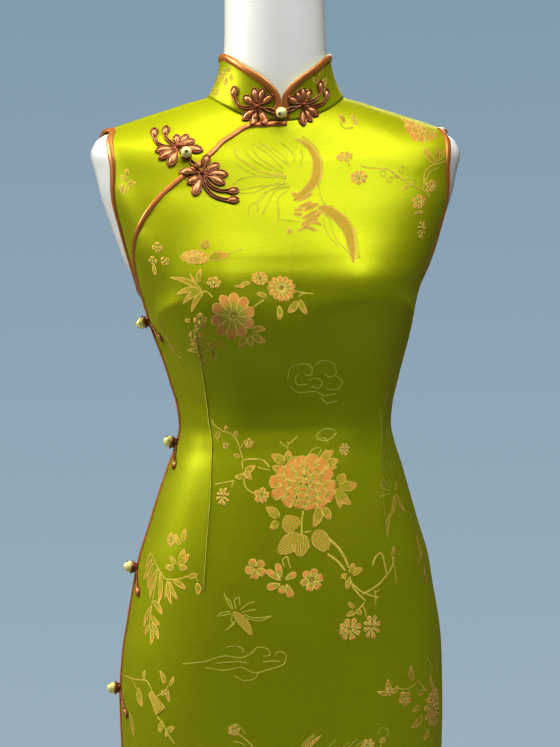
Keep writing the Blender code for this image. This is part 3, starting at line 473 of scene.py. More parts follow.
def make_piece(name, points, faces, *materials, slots=None, layers=None):
    """A smooth-shaded object. layers holds UV values for each point, by name of the UV map."""
    mesh = bpy.data.meshes.new(name)
    mesh.from_pydata(np.asarray(points, float).reshape(-1, 3).tolist(), [], faces)
    for material in materials:
        mesh.materials.append(material)
    if slots is not None:
        mesh.polygons.foreach_set("material_index", np.asarray(slots, np.int32))
    corners = np.zeros(len(mesh.loops), np.int32)
    mesh.loops.foreach_get("vertex_index", corners)
    for layer, values in (layers or {}).items():
        made = mesh.uv_layers.new(name=layer)
        made.data.foreach_set("uv", np.asarray(values, np.float32)[corners].ravel())
    mesh.shade_smooth()
    made = bpy.data.objects.new(name, mesh)
    scene.collection.objects.link(made)
    return made


def install(piece, slot, *nodes):
    """A finished piece rides on the one body and stands for its solids, which it hides; slot is not used."""
    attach(piece, "root")
    if nodes:
        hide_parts(*nodes)
    return piece


def rim_of(rows, columns):
    """Grid points round the edge, anticlockwise seen from outside."""
    last = (rows - 1) * columns
    return [*range(columns), *range(2 * columns - 1, last + columns, columns),
            *range(last + columns - 2, last - 1, -1), *range(last - columns, 0, -columns)]


def wall_of(outer, normals, thickness):
    """Points and faces of a closed wall: a fine outer grid and an inner one half as fine."""
    rows, columns = outer.shape[:2]
    inner = (outer - normals * thickness)[::2, ::2]
    count = rows * columns
    faces = grid_faces(rows, columns)
    faces += [[count + corner for corner in reversed(face)] for face in grid_faces(*inner.shape[:2])]
    around, within = rim_of(rows, columns), rim_of(*inner.shape[:2])
    for i in range(len(within)):
        a, b = count + within[i], count + within[(i + 1) % len(within)]
        faces.append([a, b, around[(2 * i + 2) % len(around)], around[2 * i + 1], around[2 * i]])
    return np.concatenate([outer.reshape(-1, 3), inner.reshape(-1, 3)]), faces


print(len(rim_of(5, 7)), "points round a grid of 5 by 7")

# %% Creases
CREASE_FADE = 0.3  # a crease rises and falls over this part of its line
FREE_BELOW, FREE_OVER = 0.82, 0.30  # cloth begins to hang free at this level, and is free 0.30 m lower
ALL_WAVES, HANGING_WAVES, QUICK_WAVES = 0.00014, 0.0005, 0.00013  # heights in metres
PUCKER_HEIGHT, PUCKER_SPACING, PUCKER_REACH = 0.00022, 0.019, 0.008

# A row to each crease: form, height and half width in mm, then its line as pairs of mm, across and level.
# A roof is the ridge of a sewn dart, a fold is a soft ridge, and a negative height makes a trough.
FRONT_CREASES = """
    roof 1.9 16 -102 1100 -97 1063 -94 1006 -89 974 -89 933 -92 885 -96 824
    roof 1.7 16 114 1079 110 1042 106 1008 100 975 98 940 99 910 104 870
    roof 3.2 22 -172 1112 -140 1122 -108 1130
    roof 2.6 20 172 1108 140 1120 110 1126
    fold 0.5 7 62 1346 100 1338 140 1322
    fold -0.4 6 70 1330 112 1318 156 1296
    fold 0.4 6 84 1312 124 1300 162 1276
    fold 0.5 8 148 1236 162 1208 170 1180
    fold 0.5 11 -28 1105 -20 1060 -16 1010
    fold 0.5 11 4 1098 6 1050 2 1005
    fold 0.5 11 34 1105 30 1055 22 1000
    fold -0.4 9 -10 1100 -6 1050 -6 1005
    fold 0.25 7 -70 1006 -20 1002 40 1008
    fold -0.2 6 -60 996 -10 992 50 997
    fold 0.2 6 -90 984 -50 980 -10 984
    fold 0.25 6 30 980 70 984 100 992"""
BACK_CREASES = """
    roof 1.6 16 -62 1150 -64 1080 -66 995 -62 900 -58 820
    roof 1.6 16 62 1150 64 1080 66 995 62 900 58 820
    fold 0.9 9 -24 1080 -18 1030 -20 990
    fold 0.9 9 22 1085 16 1035 20 985
    fold 0.3 7 -90 1006 -40 1000 20 1004
    fold 0.3 7 -20 984 40 980 90 988
    fold -0.25 6 -70 992 0 990 70 996"""


def each_crease(text):
    """The form, height, half width and line of each crease."""
    for row in text.strip().splitlines():
        form, height, half_width, line = row.split(maxsplit=3)
        yield form, float(height), float(half_width), numbers(line, 2)


def crease_height(across, level, creases):
    """How far the cloth stands out at places given in metres."""
    places = np.stack((across, level), axis=-1) / MM
    total = np.zeros(across.shape)
    for form, height, half_width, line in each_crease(creases):
        near, along = distance_to_line(places, line)
        near = near / half_width
        shape = np.clip(1 - near, 0, 1) ** 1.6 if form == "roof" else np.exp(-(near**2))
        fade = smooth_step(along / CREASE_FADE) * smooth_step((1 - along) / CREASE_FADE)
        total += height * fade * shape
    return total * MM


def unevenness(across, level):
    """The slight waves of cloth that hangs free below the hips, and of all silk by less."""
    free = smooth_step((FREE_BELOW - level) / FREE_OVER)
    slow = np.sin(across * 31 + level * 5) * np.sin(level * 11 + across * 7 + 1.3)
    quick = np.sin(across * 83 + level * 23 + 0.7) * np.sin(level * 61 - across * 17)
    return (ALL_WAVES + HANGING_WAVES * free) * slow + QUICK_WAVES * quick


def pucker(edge_distance, level):
    """Silk draws in along a seam in short waves."""
    waves = np.sin(level * 2 * math.pi / PUCKER_SPACING + np.sin(level * 61))
    return PUCKER_HEIGHT * waves * np.exp(-edge_distance / PUCKER_REACH)


print(len(list(each_crease(FRONT_CREASES + BACK_CREASES))), "creases")

# %% Panel
# Rows of points lie this far from an edge, then MARGIN from it, then at even steps.
EDGE_STEPS, MARGIN = np.array((0.0, 0.0008, 0.0022)), 0.0045
TURN_UNDER, TURN_WIDTH, CALM_WIDTH = 0.0007, 0.0026, 0.006


class Panel:
    """A piece of cloth between two edges, given as turns for each level."""

    def __init__(self, chart, low, high, start_of, end_of, columns, lift=None, creases="", step=0.0032):
        self.levels = self.rows_between(low, high, step)
        self.columns = columns
        self.start = chart.across_of(start_of(self.levels), self.levels)
        self.end = chart.across_of(end_of(self.levels), self.levels)
        width = (self.end - self.start)[:, None]
        inside = MARGIN + (width - 2 * MARGIN) * np.linspace(0, 1, columns + 1)
        distances = np.concatenate([EDGE_STEPS + 0 * width, inside, width - EDGE_STEPS[::-1]], axis=1)
        across, level = self.start[:, None] + distances, self.levels[:, None] + 0 * distances
        turns = chart.turn_of(across, level)
        points = skin(turns, level)
        self.normals = normal_of(skin, turns, level)
        to_side = np.minimum(distances, width - distances)
        to_end = np.minimum(level - low, high - level)
        out = crease_height(across, level, creases) + unevenness(across, level) + pucker(to_side, level)
        out *= smooth_step(to_side / CALM_WIDTH + 0.3)
        out -= TURN_UNDER * (1 - smooth_step(np.minimum(to_side, to_end) / TURN_WIDTH))
        if lift:
            out += lift(points)
        self.outer = points + self.normals * out[..., None]

    @staticmethod
    def rows_between(low, high, step):
        """Levels at equal distances along the shoulder, with closer ones at both ends."""
        fine = np.linspace(low, high, 3000)
        run = run_of(skin(72.0, fine))
        count = int(run[-1] / step) // 2 * 2
        places = np.concatenate([EDGE_STEPS, np.linspace(MARGIN, run[-1] - MARGIN, count + 1),
                                 run[-1] - EDGE_STEPS[::-1]])
        return np.interp(places, run, fine)

    def limits(self, level):
        return np.interp(level, self.levels, self.start), np.interp(level, self.levels, self.end)

    def holds(self, across, level, margin=MARGIN):
        start, end = self.limits(level)
        low, high = self.levels[len(EDGE_STEPS)], self.levels[-len(EDGE_STEPS) - 1]
        return ((across > start + margin) & (across < end - margin)
                & (level > low - 1e-6) & (level < high + 1e-6))

    def place(self, across, level, off):
        """Points on the panel at distances and levels in metres, standing off it."""
        row = np.interp(level, self.levels, np.arange(len(self.levels)))
        start, end = self.limits(level)
        column = len(EDGE_STEPS) + (across - start - MARGIN) / (end - start - 2 * MARGIN) * self.columns
        return bilinear(self.outer, row, column) + bilinear(self.normals, row, column) * off[..., None]


def area_of(grid):
    """The area of a grid of points: half of the cross product of the diagonals of each face."""
    crossed = np.cross(grid[1:, 1:] - grid[:-1, :-1], grid[1:, :-1] - grid[:-1, 1:])
    return float(np.linalg.norm(crossed, axis=2).sum() / 2)


print("rows of cloth from hem to neck:", len(Panel.rows_between(HEM, NECK_SEAM, 0.0032)))

# %% [markdown]
# ## Silk satin
# The ground of the brocade is a silk satin: long floats of filament lie side by side, so it gleams more
# than cotton and its highlight spreads across the threads. A dyed metal and a dull dye at once come close
# to that look, so the shader is partly metallic. Slubs, which are thicker places in the filament, run
# across the cloth. Real threads are 0.1 mm apart, too fine to show, so they are drawn 0.6 mm apart.

# %% Satin material
THREAD_SPACING = 0.6  # mm

satin, tree, shader = new_material("silk_satin_lime", {
    "Metallic": 0.28, "Roughness": 0.47, "Sheen Weight": 0.10, "Sheen Roughness": 0.45,
    "Sheen Tint": linear("#FFE4B8"), "Specular IOR Level": 0.38, "Specular Tint": linear("#FFE4C4")})
place = add_node(tree, "TexCoord").outputs["Object"]
# Dye takes a little unevenly, over about 120 mm.
dye = add_node(tree, "TexNoise", {"Scale": 8.0, "Detail": 2.0}, {"Vector": place})
tone = add_node(tree, "Mix", {6: linear("#B0B818"), 7: linear("#C2CA1E")}, {0: dye}, data_type="RGBA")
slub_place = add_node(tree, "Mapping", {"Scale": (0.08, 0.08, 1.0)}, {"Vector": place})
slubs = add_node(tree, "TexNoise", {"Scale": 1400.0, "Detail": 2.0}, {"Vector": slub_place})
fleck = add_node(tree, "MapRange", {"From Min": 0.35, "From Max": 0.65, "To Max": 0.22}, {"Value": slubs})
ground = add_node(tree, "Mix", {7: linear("#94A60E")}, {0: fleck, 6: tone.outputs[2]}, data_type="RGBA")
# The threads are fine noise stretched along the weft, as a bump.
thread_place = add_node(tree, "Mapping", {"Scale": (0.1, 0.1, 1.0)}, {"Vector": place})
threads = add_node(tree, "TexNoise", {"Scale": 1 / (THREAD_SPACING * MM), "Detail": 2.0},
                   {"Vector": thread_place})
bump = add_node(tree, "Bump", {"Strength": 0.35, "Distance": 0.05 * MM}, {"Height": threads})
connect(shader, {"Base Color": ground.outputs[2], "Normal": bump})
print("made", satin.name)

# %% [markdown]
# ## The four pieces of cloth
# Front, back, the small piece that the opening covers, and the collar. The darts at the waist are ridges
# with a stitched line, drawn later as a raised line of lighter green thread whose colour is partly a painted
# highlight along the lit ridge. The bust darts are short ridges from the side seams, and soft folds run from
# bust to waist, where the cloth is pulled in. The back has two long darts and its own folds.

# %% Panels
WIDE, NARROW = 150, 36  # columns of a panel's grid
UNDERLAP = 0.012

front_panel = Panel(front_chart, HEM, NECK_SEAM, opening_edge, lambda level: side_edge(level, 1, "front"),
                    WIDE, lift=front_lift, creases=FRONT_CREASES)
back_panel = Panel(back_chart, HEM, NECK_SEAM, lambda level: side_edge(level, 1, "back"),
                   lambda level: 360 + side_edge(level, -1, "back"), WIDE, creases=BACK_CREASES)


def underlap_edge(level):
    """The small front piece reaches this far under the front."""
    turn = opening.read("turn", level)
    return turn + turn_step(turn, level, UNDERLAP)


small_panel = Panel(front_chart, OPENING_LOW, NECK_SEAM, lambda level: side_edge(level, -1, "front"),
                    underlap_edge, NARROW)

cloth_pieces = {}
for name, panel, node in (("front_cloth", front_panel, "front_panel"),
                          ("back_cloth", back_panel, "back_panel"),
                          ("small_front_cloth", small_panel, "right_front_piece")):
    points, faces = wall_of(panel.outer, panel.normals, CLOTH_WALL)
    cloth_pieces[name] = install(make_piece(name, points, faces, satin), "lime_satin", node)
    print(name, len(faces), "faces, cut area", round(area_of(panel.outer), 4), "m2")

# %% Collar
COLLAR_TOP = {"level": 1.401, "half_width": 0.0608, "front": 0.0630, "back": 0.0520, "full": 0.03,
              "front_z": 1.365, "back_z": 1.411}
COLLAR_CORNER, COLLAR_END_GAP, COLLAR_HOLLOW = 0.030, 0.0006, 0.016


def collar_top(turn):
    turn = np.asarray(turn, float)
    sine, cosine = np.sin(np.radians(turn)), np.cos(np.radians(turn))
    top = COLLAR_TOP
    x = top["half_width"] * sine * (1 + top["full"] * cosine**2)
    y = -np.where(cosine > 0, top["front"], top["back"]) * cosine * (1 + top["full"] * sine**2)
    end_z = np.where(cosine > 0, top["front_z"], top["back_z"])
    return np.stack((x, y, top["level"] + (end_z - top["level"]) * np.abs(cosine) ** 2.5), axis=-1)


def collar_base(turn):
    plain = skin(turn, NECK_SEAM)
    out = normal_of(skin, turn, np.full_like(turn, NECK_SEAM))
    lifted = plain + out * (front_lift(plain) * (np.abs(turn) < 90))[..., None]
    return lifted + unit(collar_top(turn) - lifted) * SEAM_GAP


def collar_skin(turn, part):
    """The collar's outer face, from the neck seam (part 0) to its full height (part 1)."""
    turn, part = np.broadcast_arrays(np.asarray(turn, float), np.asarray(part, float))
    base, top = collar_base(turn), collar_top(turn)
    hollow = COLLAR_HOLLOW * part * (1 - part) * (1 - np.abs(np.cos(np.radians(turn))) * 0.7)
    inward = unit(-base * np.array((1.0, 1.0, 0.0)))
    return base + (top - base) * part[..., None] + inward * hollow[..., None]


def collar_height(turn):
    return np.linalg.norm(collar_top(turn) - collar_base(turn), axis=-1)


def collar_part(turn):
    """How much of its full height the collar has: its corners at centre front are round."""
    along = np.minimum(np.abs(collar_top(turn)[..., 0]), COLLAR_CORNER)
    drop = COLLAR_CORNER - np.sqrt(COLLAR_CORNER**2 - (COLLAR_CORNER - along) ** 2)
    return 1 - np.where(np.abs(turn) > 60, 0.0, drop) / collar_height(turn)


def collar_turns(count):
    """Turns from the end at the wearer's left, round the back, to the other end, closer together in front."""
    steps = np.linspace(-1, 1, count + 1)
    end = math.degrees(COLLAR_END_GAP / 2 / COLLAR_TOP["front"])
    back = (180 - end) * np.sign(steps) * (1 - (1 - np.abs(steps)) ** 1.5)
    return np.where(back < 0, back + 180, back - 180)


COLLAR_COLUMNS, COLLAR_ROWS = 168, 16
PART_STEP = 0.005  # the step up for normals, where up is a part of the collar's height
turns = collar_turns(COLLAR_COLUMNS)
# Its lowest row dips half a millimetre below the seam, as cloth does where it is sewn.
parts = collar_part(turns) * np.linspace(-0.012, 1, COLLAR_ROWS + 1)[:, None]
collar_points = collar_skin(turns, parts)
collar_normals = normal_of(collar_skin, turns + 0 * parts, parts, PART_STEP)
points, faces = wall_of(collar_points, collar_normals, COLLAR_WALL)
made = make_piece("collar_cloth", points, faces, satin)
cloth_pieces["collar_cloth"] = install(made, "lime_satin", "collar")
print("collar", len(faces), "faces, height at the back", round(float(collar_height(np.array([179.0]))[0]), 4))

# %% [markdown]
# ## Woven flowers
# The pattern of a brocade is woven with extra threads that float over the ground: peach silk with a gold
# edge for flowers and leaves, gold for stems, and green on green for clouds and vines, which on the real
# cloth show only by their gleam; here that green is also painted lighter than the ground, a painted sheen.
# Each leaf, petal or stem is drawn as a low strip that lies on the cloth and follows every crease of it. A
# strip carries two UV maps in millimetres: how far a place is from the strip's middle and how wide the
# strip is there, and how far along it lies. The gold edge and the veins come from those.

# %% Thread materials
GROUND_LIME = "#B4C220"
RIB_SPACING, RIB_TILT = 0.5, 0.9  # mm, and how far the normal leans


def rib_normal(tree):
    """Weft threads lie across as round ribs, so each shows the light some of its upper side and some of
    its lower, and gleams alike on cloth that faces up or down. Here the normal swings over every rib."""
    surface = add_node(tree, "TexCoord")
    height = add_node(tree, "SeparateXYZ", links={0: surface.outputs["Object"]})
    phase = add_node(tree, "Math", {1: 2 * math.pi / (RIB_SPACING * MM)}, {0: height.outputs[2]},
                     operation="MULTIPLY")
    swing = add_node(tree, "Math", links={0: phase}, operation="SINE")
    lean = add_node(tree, "Math", {1: RIB_TILT}, {0: swing}, operation="MULTIPLY")
    up = add_node(tree, "CombineXYZ", links={2: lean})
    total = add_node(tree, "VectorMath", links={0: surface.outputs["Normal"], 1: up}, operation="ADD")
    return add_node(tree, "VectorTransform", links={0: total}, vector_type="NORMAL", convert_from="OBJECT",
                    convert_to="WORLD")


def thread_material(name, fill, edge, line, edge_mm, stripe_mm, fill_from, slant=0.0, ground=GROUND_LIME):
    """Floating threads. Seen from its root, a strip has an edge of one colour, lines of another that run
    along or aslant stripe_mm apart over the bare ground, and solid filling from the part fill_from on."""
    made, tree, shader = new_material(name, {
        "Roughness": 0.5, "Metallic": 0.25, "Sheen Weight": 0.10, "Specular IOR Level": 0.3})
    width, length = (add_node(tree, "SeparateXYZ", links={0: add_node(tree, "UVMap", uv_map=uv_map)})
                     for uv_map in ("across", "along"))
    off = add_node(tree, "Math", links={0: width}, operation="ABSOLUTE")
    to_edge = add_node(tree, "Math", links={0: width.outputs[1], 1: off}, operation="SUBTRACT")
    whole_length = add_node(tree, "Math", links={0: length, 1: length.outputs[1]}, operation="DIVIDE")
    to_tip = add_node(tree, "Math", links={0: whole_length, 1: length}, operation="SUBTRACT")
    to_rim = add_node(tree, "Math", links={0: to_edge, 1: to_tip}, operation="MINIMUM")
    rim = add_node(tree, "MapRange", {"From Min": edge_mm * 0.85, "From Max": edge_mm * 1.15,
                                      "To Min": 1.0, "To Max": 0.0}, {"Value": to_rim})
    aslant = add_node(tree, "Math", {1: slant}, {0: length, 2: width}, operation="MULTIPLY_ADD")
    phase = add_node(tree, "Math", {1: 2 * math.pi / stripe_mm}, {0: aslant}, operation="MULTIPLY")
    wave = add_node(tree, "Math", links={0: phase}, operation="COSINE")
    stripes = add_node(tree, "MapRange", {"From Min": 0.1, "From Max": 0.5}, {"Value": wave})
    place = add_node(tree, "TexCoord").outputs["Object"]
    # The border between lines and filling is ragged by about 2 mm, as shaded weaving is.
    ragged = add_node(tree, "TexNoise", {"Scale": 450.0, "Detail": 1.0}, {"Vector": place})
    tip = add_node(tree, "Math", {1: 0.45}, {0: ragged, 2: length.outputs[1]}, operation="MULTIPLY_ADD")
    filled = add_node(tree, "MapRange", {"From Min": fill_from + 0.17, "From Max": fill_from + 0.27},
                      {"Value": tip})
    lined = add_node(tree, "Mix", {6: linear(ground), 7: linear(line)}, {0: stripes}, data_type="RGBA")
    inner = add_node(tree, "Mix", {7: linear(fill)}, {0: filled, 6: lined.outputs[2]}, data_type="RGBA")
    whole = add_node(tree, "Mix", {7: linear(edge)}, {0: rim, 6: inner.outputs[2]}, data_type="RGBA")
    connect(shader, {"Base Color": whole.outputs[2], "Normal": rib_normal(tree)})
    return made


# Petals have a peach tip over gold lines, buds are striped, leaves have a gold edge and lines along them,
# feathers slanting lines, and clouds and vines are lighter green lines only: their lighter green is a
# painted sheen. Real lines are 1 mm apart; these are up to three times that, to be seen from two metres.
# A filling from 2.0 on never starts.
THREADS = (
    thread_material("peach_petal_thread", "#EEB864", "#F2DC82", "#E8CC74", 1.1, 2.2, 0.50),
    thread_material("peach_bud_thread", "#F0B46E", "#EED27C", "#F0B676", 0.8, 2.6, 2.0),
    thread_material("gold_leaf_thread", "#E0BE58", "#EED678", "#D6B04A", 1.1, 2.4, 0.55),
    thread_material("peach_feather_thread", "#FAC884", "#F6D088", "#F4AC6C", 0.9, 3.2, 2.0, -0.9, "#BEC838"),
    thread_material("gold_silk_thread", "#E4D66A", "#E4D66A", "#E4D66A", 0.3, 1.0, -1.0),
    # The green thread is lighter than the ground: a painted sheen.
    thread_material("green_silk_thread_painted_sheen", "#D6D468", "#D6D468", GROUND_LIME, 0.6, 9.0, 2.0))
PEACH, BUD, LEAF, FEATHER, GOLD, PAINTED_SHEEN_GREEN = range(6)
print(len(THREADS), "threads")

# %% Strips of thread on a panel
def smooth_path(points, spacing):
    """A smooth line through a few points, with places about a spacing apart."""
    points = np.asarray(points, float).reshape(-1, 2)
    run = run_of(points)
    if len(points) == 2:
        points, run = np.insert(points, 1, points.mean(axis=0), axis=0), np.insert(run, 1, run[-1] / 2)
    table = Table("run u w", np.column_stack((run, points)))
    steps = np.linspace(0, run[-1], max(4, int(run[-1] / spacing) + 2))
    return np.column_stack((table.read("u", steps), table.read("w", steps)))


class Brocade:
    """Gathers the strips that lie on one panel into one piece."""

    HEIGHTS = {"tone": 0.16, "stem": 0.20, "leaf": 0.24, "petal": 0.28, "petal_2": 0.40, "petal_3": 0.52,
               "petal_4": 0.64, "heart": 0.76}
    INTO_CLOTH, DIVE, SLOPE, STAGGER = 0.35, 0.08, 0.03, 0.006

    def __init__(self, panel):
        self.panel, self.count, self.strips = panel, 0, 0
        self.points, self.faces, self.slots, self.across, self.along = [], [], [], [], []

    def strip(self, line, halves, thread, layer):
        """A strip along a line, in mm on the panel, with its half width at each place."""
        tangent = unit(np.gradient(line, axis=0))
        side = np.column_stack((-tangent[:, 1], tangent[:, 0]))
        run = run_of(line)
        left, right = line + side * halves[:, None], line - side * halves[:, None]
        kept = np.ones(len(line), bool)
        for edge in (left, right):
            kept &= self.panel.holds(edge[:, 0] * MM, edge[:, 1] * MM)
        inside = np.flatnonzero(kept)
        if len(inside) < 3 or not kept[inside[0]:inside[-1] + 1].all():
            return
        picked = slice(inside[0], inside[-1] + 1)
        count = len(inside)
        # A strip dives into the cloth at both ends, where its threads go to the back. Strips of one layer
        # differ a little in height, so that they never lie in one plane where they cross.
        top = np.full(count, self.HEIGHTS[layer] + self.STAGGER * (self.strips % 7))
        top[[0, -1]] = -self.DIVE
        foot = np.full(count, -self.INTO_CLOTH)
        section = ((left, top - self.SLOPE), (line, top), (right, top - self.SLOPE), (line, foot))
        rings = [self.panel.place(p[picked, 0] * MM, p[picked, 1] * MM, off * MM) for p, off in section]
        self.points.append(np.stack(rings, axis=1).reshape(-1, 3))
        faces = grid_faces(count, 4, closed=True) + [[3, 2, 1, 0], [4 * count - 4 + i for i in range(4)]]
        self.faces += [[corner + self.count for corner in face] for face in faces]
        self.slots += [thread] * len(faces)
        half, zero = halves[picked], np.zeros(count)
        self.across.append(np.stack([np.column_stack((u, half)) for u in (half, zero, -half, zero)],
                                    axis=1).reshape(-1, 2))
        self.along.append(np.repeat(np.column_stack((run[picked], run[picked] / run[-1])), 4, axis=0))
        self.count += 4 * count
        self.strips += 1

    def piece(self, name):
        """The gathered strips as one piece, with crisp edges between top and sides."""
        made = make_piece(name, np.concatenate(self.points), self.faces, *THREADS, slots=self.slots,
                          layers={"across": np.concatenate(self.across), "along": np.concatenate(self.along)})
        ends = np.zeros(2 * len(made.data.edges), np.int32)
        made.data.edges.foreach_get("vertices", ends)
        a, b = ends.reshape(-1, 2).T % 4
        made.data.edges.foreach_set("use_edge_sharp", (a == b) & (a % 2 == 0))
        return made


print("strip layers in mm:", Brocade.HEIGHTS)

# %% Leaves, petals and flowers
SHAPES = {
    "leaf": lambda t: np.sin(math.pi * t**0.85) ** 0.8,
    "petal": lambda t: 1.08 * t**0.6 * np.sqrt(np.clip(1 - t**3.4, 0, 1)),
    "lobe": lambda t: 1.06 * t**0.7 * np.sqrt(np.clip(1 - t**2.6, 0, 1)),
    "bud": lambda t: np.sin(math.pi * t**0.8) ** 0.7,
    "bell": lambda t: 0.35 + 0.65 * t,
    "disc": lambda t: np.sqrt(np.clip(1 - (2 * t - 1) ** 2, 0, 1)),
    "plain": lambda t: 1 + 0 * t,
    "wing": lambda t: np.sin(math.pi * t**0.6) ** 0.6,
}


def draw_strip(cloth, points, width, shape, thread, layer, bend=0.0):
    """A strip of a named shape through points in mm. bend bows it sideways, as a part of its length."""
    points = np.asarray(points, float).reshape(-1, 2)
    line = smooth_path(points, 2.6)
    t = np.linspace(0, 1, len(line))
    if bend:
        reach = points[-1] - points[0]
        line = line + np.outer(np.sin(math.pi * t) * bend, (-reach[1], reach[0]))
    halves = np.maximum(width / 2 * SHAPES[shape](t), 0.12)
    cloth.strip(line, halves, thread, layer)


def draw_petals(cloth, x, y, inner, outer, count, width, phase, layer, squash=1.0, uneven=0.0):
    """Petals round a middle. squash flattens the flower, and uneven varies the petals."""
    for k in range(count):
        angle = 2 * math.pi * k / count + phase + uneven * math.sin(7.0 * k + 4 * phase)
        reach = outer * (1 + uneven * math.sin(5.0 * k + 9 * phase))
        broad = width * (1 + 1.6 * uneven * math.cos(3.0 * k + 5 * phase))
        way = np.array((math.cos(angle), math.sin(angle) * squash))
        draw_strip(cloth, ((x, y) + way * inner, (x, y) + way * reach), broad, "lobe" if uneven else "petal",
                   PEACH, layer)


def draw_heart(cloth, x, y, radius):
    draw_strip(cloth, ((x - radius, y), (x + radius, y)), 2 * radius, "disc", GOLD, "heart")


def draw_flower(cloth, x, y, radius, heart, count):
    """Equal petals round a heart, turned by an angle that differs from place to place."""
    width, phase = 1.75 * radius * math.sin(math.pi / count), 0.7 * x + 0.3 * y
    draw_petals(cloth, x, y, heart * 0.6, radius, count, width, phase, "petal")
    draw_heart(cloth, x, y, max(heart * 0.8, 1.0))


def draw_peony(cloth, x, y, radius, height):
    """Rings of broad petals, each over the one outside it, as a many-petalled peony is drawn."""
    squash = height / radius
    rings = ((0.60, 1.0, 14, 0.56, "petal"), (0.46, 0.84, 12, 0.52, "petal_2"),
             (0.30, 0.67, 10, 0.48, "petal_3"), (0.15, 0.48, 7, 0.44, "petal_4"),
             (0.0, 0.28, 5, 0.32, "heart"))
    for number, (inner, outer, count, width, layer) in enumerate(rings):
        draw_petals(cloth, x, y + 0.05 * number * height, inner * radius, outer * radius, count,
                    width * radius, 0.4 + number * 0.5, layer, squash, 0.07)


def draw_rose(cloth, x, y, radius, height):
    squash = height / radius
    draw_petals(cloth, x, y, 0.3 * radius, radius, 8, 0.68 * radius, 0.3, "petal", squash, 0.08)
    draw_petals(cloth, x, y, 0.05 * radius, 0.6 * radius, 5, 0.55 * radius, 0.9, "petal_2", squash, 0.08)


def draw_oval(cloth, x, y, radius, height):
    """A loop of stem, as for a curled shoot."""
    angles = np.linspace(0, 2 * math.pi, 17)
    ring = np.column_stack((x + radius * np.cos(angles), y + height * np.sin(angles)))
    draw_strip(cloth, ring, 1.2, "plain", GOLD, "stem")


def draw_wing(cloth, width, points):
    """A wing: a curved band of slanting feathers, with two long feathers beside its outer half."""
    line = smooth_path(points, 5.0)
    bow = np.cross(line[len(line) // 2] - line[0], line[-1] - line[0])
    side = unit(np.column_stack((-np.gradient(line[:, 1]), np.gradient(line[:, 0])))) * (1 if bow > 0 else -1)
    draw_strip(cloth, points, width, "wing", FEATHER, "petal")
    for reach in (0.38, 0.56):
        feather = line - side * width * reach
        draw_strip(cloth, feather[len(line) // 4:-1], 1.0, "plain", GOLD, "stem")


def draw_round(cloth, kind, size, x, y, height_or_heart=None, count=None):
    """One of the round kinds: a loop, a rose or peony of some height, or a flower with a heart and petals."""
    if kind == "flower":
        draw_flower(cloth, x, y, size, height_or_heart, int(count))
    elif kind == "daisy":
        heart, width = size * 0.08, 2.0 * size * math.sin(math.pi / count)
        draw_petals(cloth, x, y, heart, size, int(count), width, 0.2, "petal")
        draw_heart(cloth, x, y, heart)
    else:
        drawn = {"peony": draw_peony, "rose": draw_rose, "oval": draw_oval}[kind]
        drawn(cloth, x, y, size, height_or_heart)


# What the kinds along a line are drawn with: shape, thread and layer, a factor on the width, and a bow.
LINES = {
    "stem": ("plain", GOLD, "stem", 1.15, 0), "tone": ("plain", PAINTED_SHEEN_GREEN, "tone", 1.1, 0),
    "leaf": ("leaf", LEAF, "leaf", 1, 0.09), "feather": ("leaf", FEATHER, "leaf", 1, 0.09),
    "blossom": ("lobe", PEACH, "petal", 1, 0), "bud": ("bud", BUD, "petal", 1, 0.04),
    "bell": ("bell", BUD, "petal", 1, 0)}


def draw_line(cloth, kind, size, points, first):
    """One of the kinds that lie along points. Leaves bow to either side in turn, by their first place."""
    if kind == "wing":
        draw_wing(cloth, size, points)
    elif kind == "toneleaf":
        for bow in (-0.24, 0.24):
            draw_strip(cloth, points, 1.1, "plain", PAINTED_SHEEN_GREEN, "tone", bow)
    else:
        shape, thread, layer, factor, bow = LINES[kind]
        if shape == "leaf" and not (first[0] + first[1]) % 2:
            bow = -bow
        draw_strip(cloth, points, size * factor, shape, thread, layer, bow)


def draw(cloth, text, x, y, mirror=1):
    """Draws one motif at a place in mm. Its text has a part for each kind and size, with a slash between
    the numbers of one and the next."""
    for part in text.split(";"):
        kind, size, places = part.split(maxsplit=2)
        for place in places.split("/"):
            v = numbers(place, 1).ravel()
            if kind in ("flower", "daisy", "peony", "rose", "oval"):
                draw_round(cloth, kind, float(size), x + mirror * v[0], y + v[1], *v[2:])
            else:
                draw_line(cloth, kind, float(size), v.reshape(-1, 2) * (mirror, 1) + (x, y), v)


def draw_all(cloth, places):
    """Draws motifs by name, at places in mm and mirrored (-1) or not (1)."""
    for place in places.split(";"):
        motif, *where = place.split()
        draw(cloth, MOTIFS[motif], *map(int, where))


print(len(SHAPES), "shapes of strip")

# %% [markdown]
# ## The motifs and where they lie
# The cloth repeats a phoenix, a bough of peonies, chrysanthemums, clouds, an insect and small sprays. Each
# part between semicolons has a kind, a size in mm, and numbers: the points of a line in mm from the motif's
# middle, across and up, or the middle of a round flower and what else it needs. Slashes part the numbers of
# several of one kind and size. What runs over an edge is cut there, as the shears cut the real one.

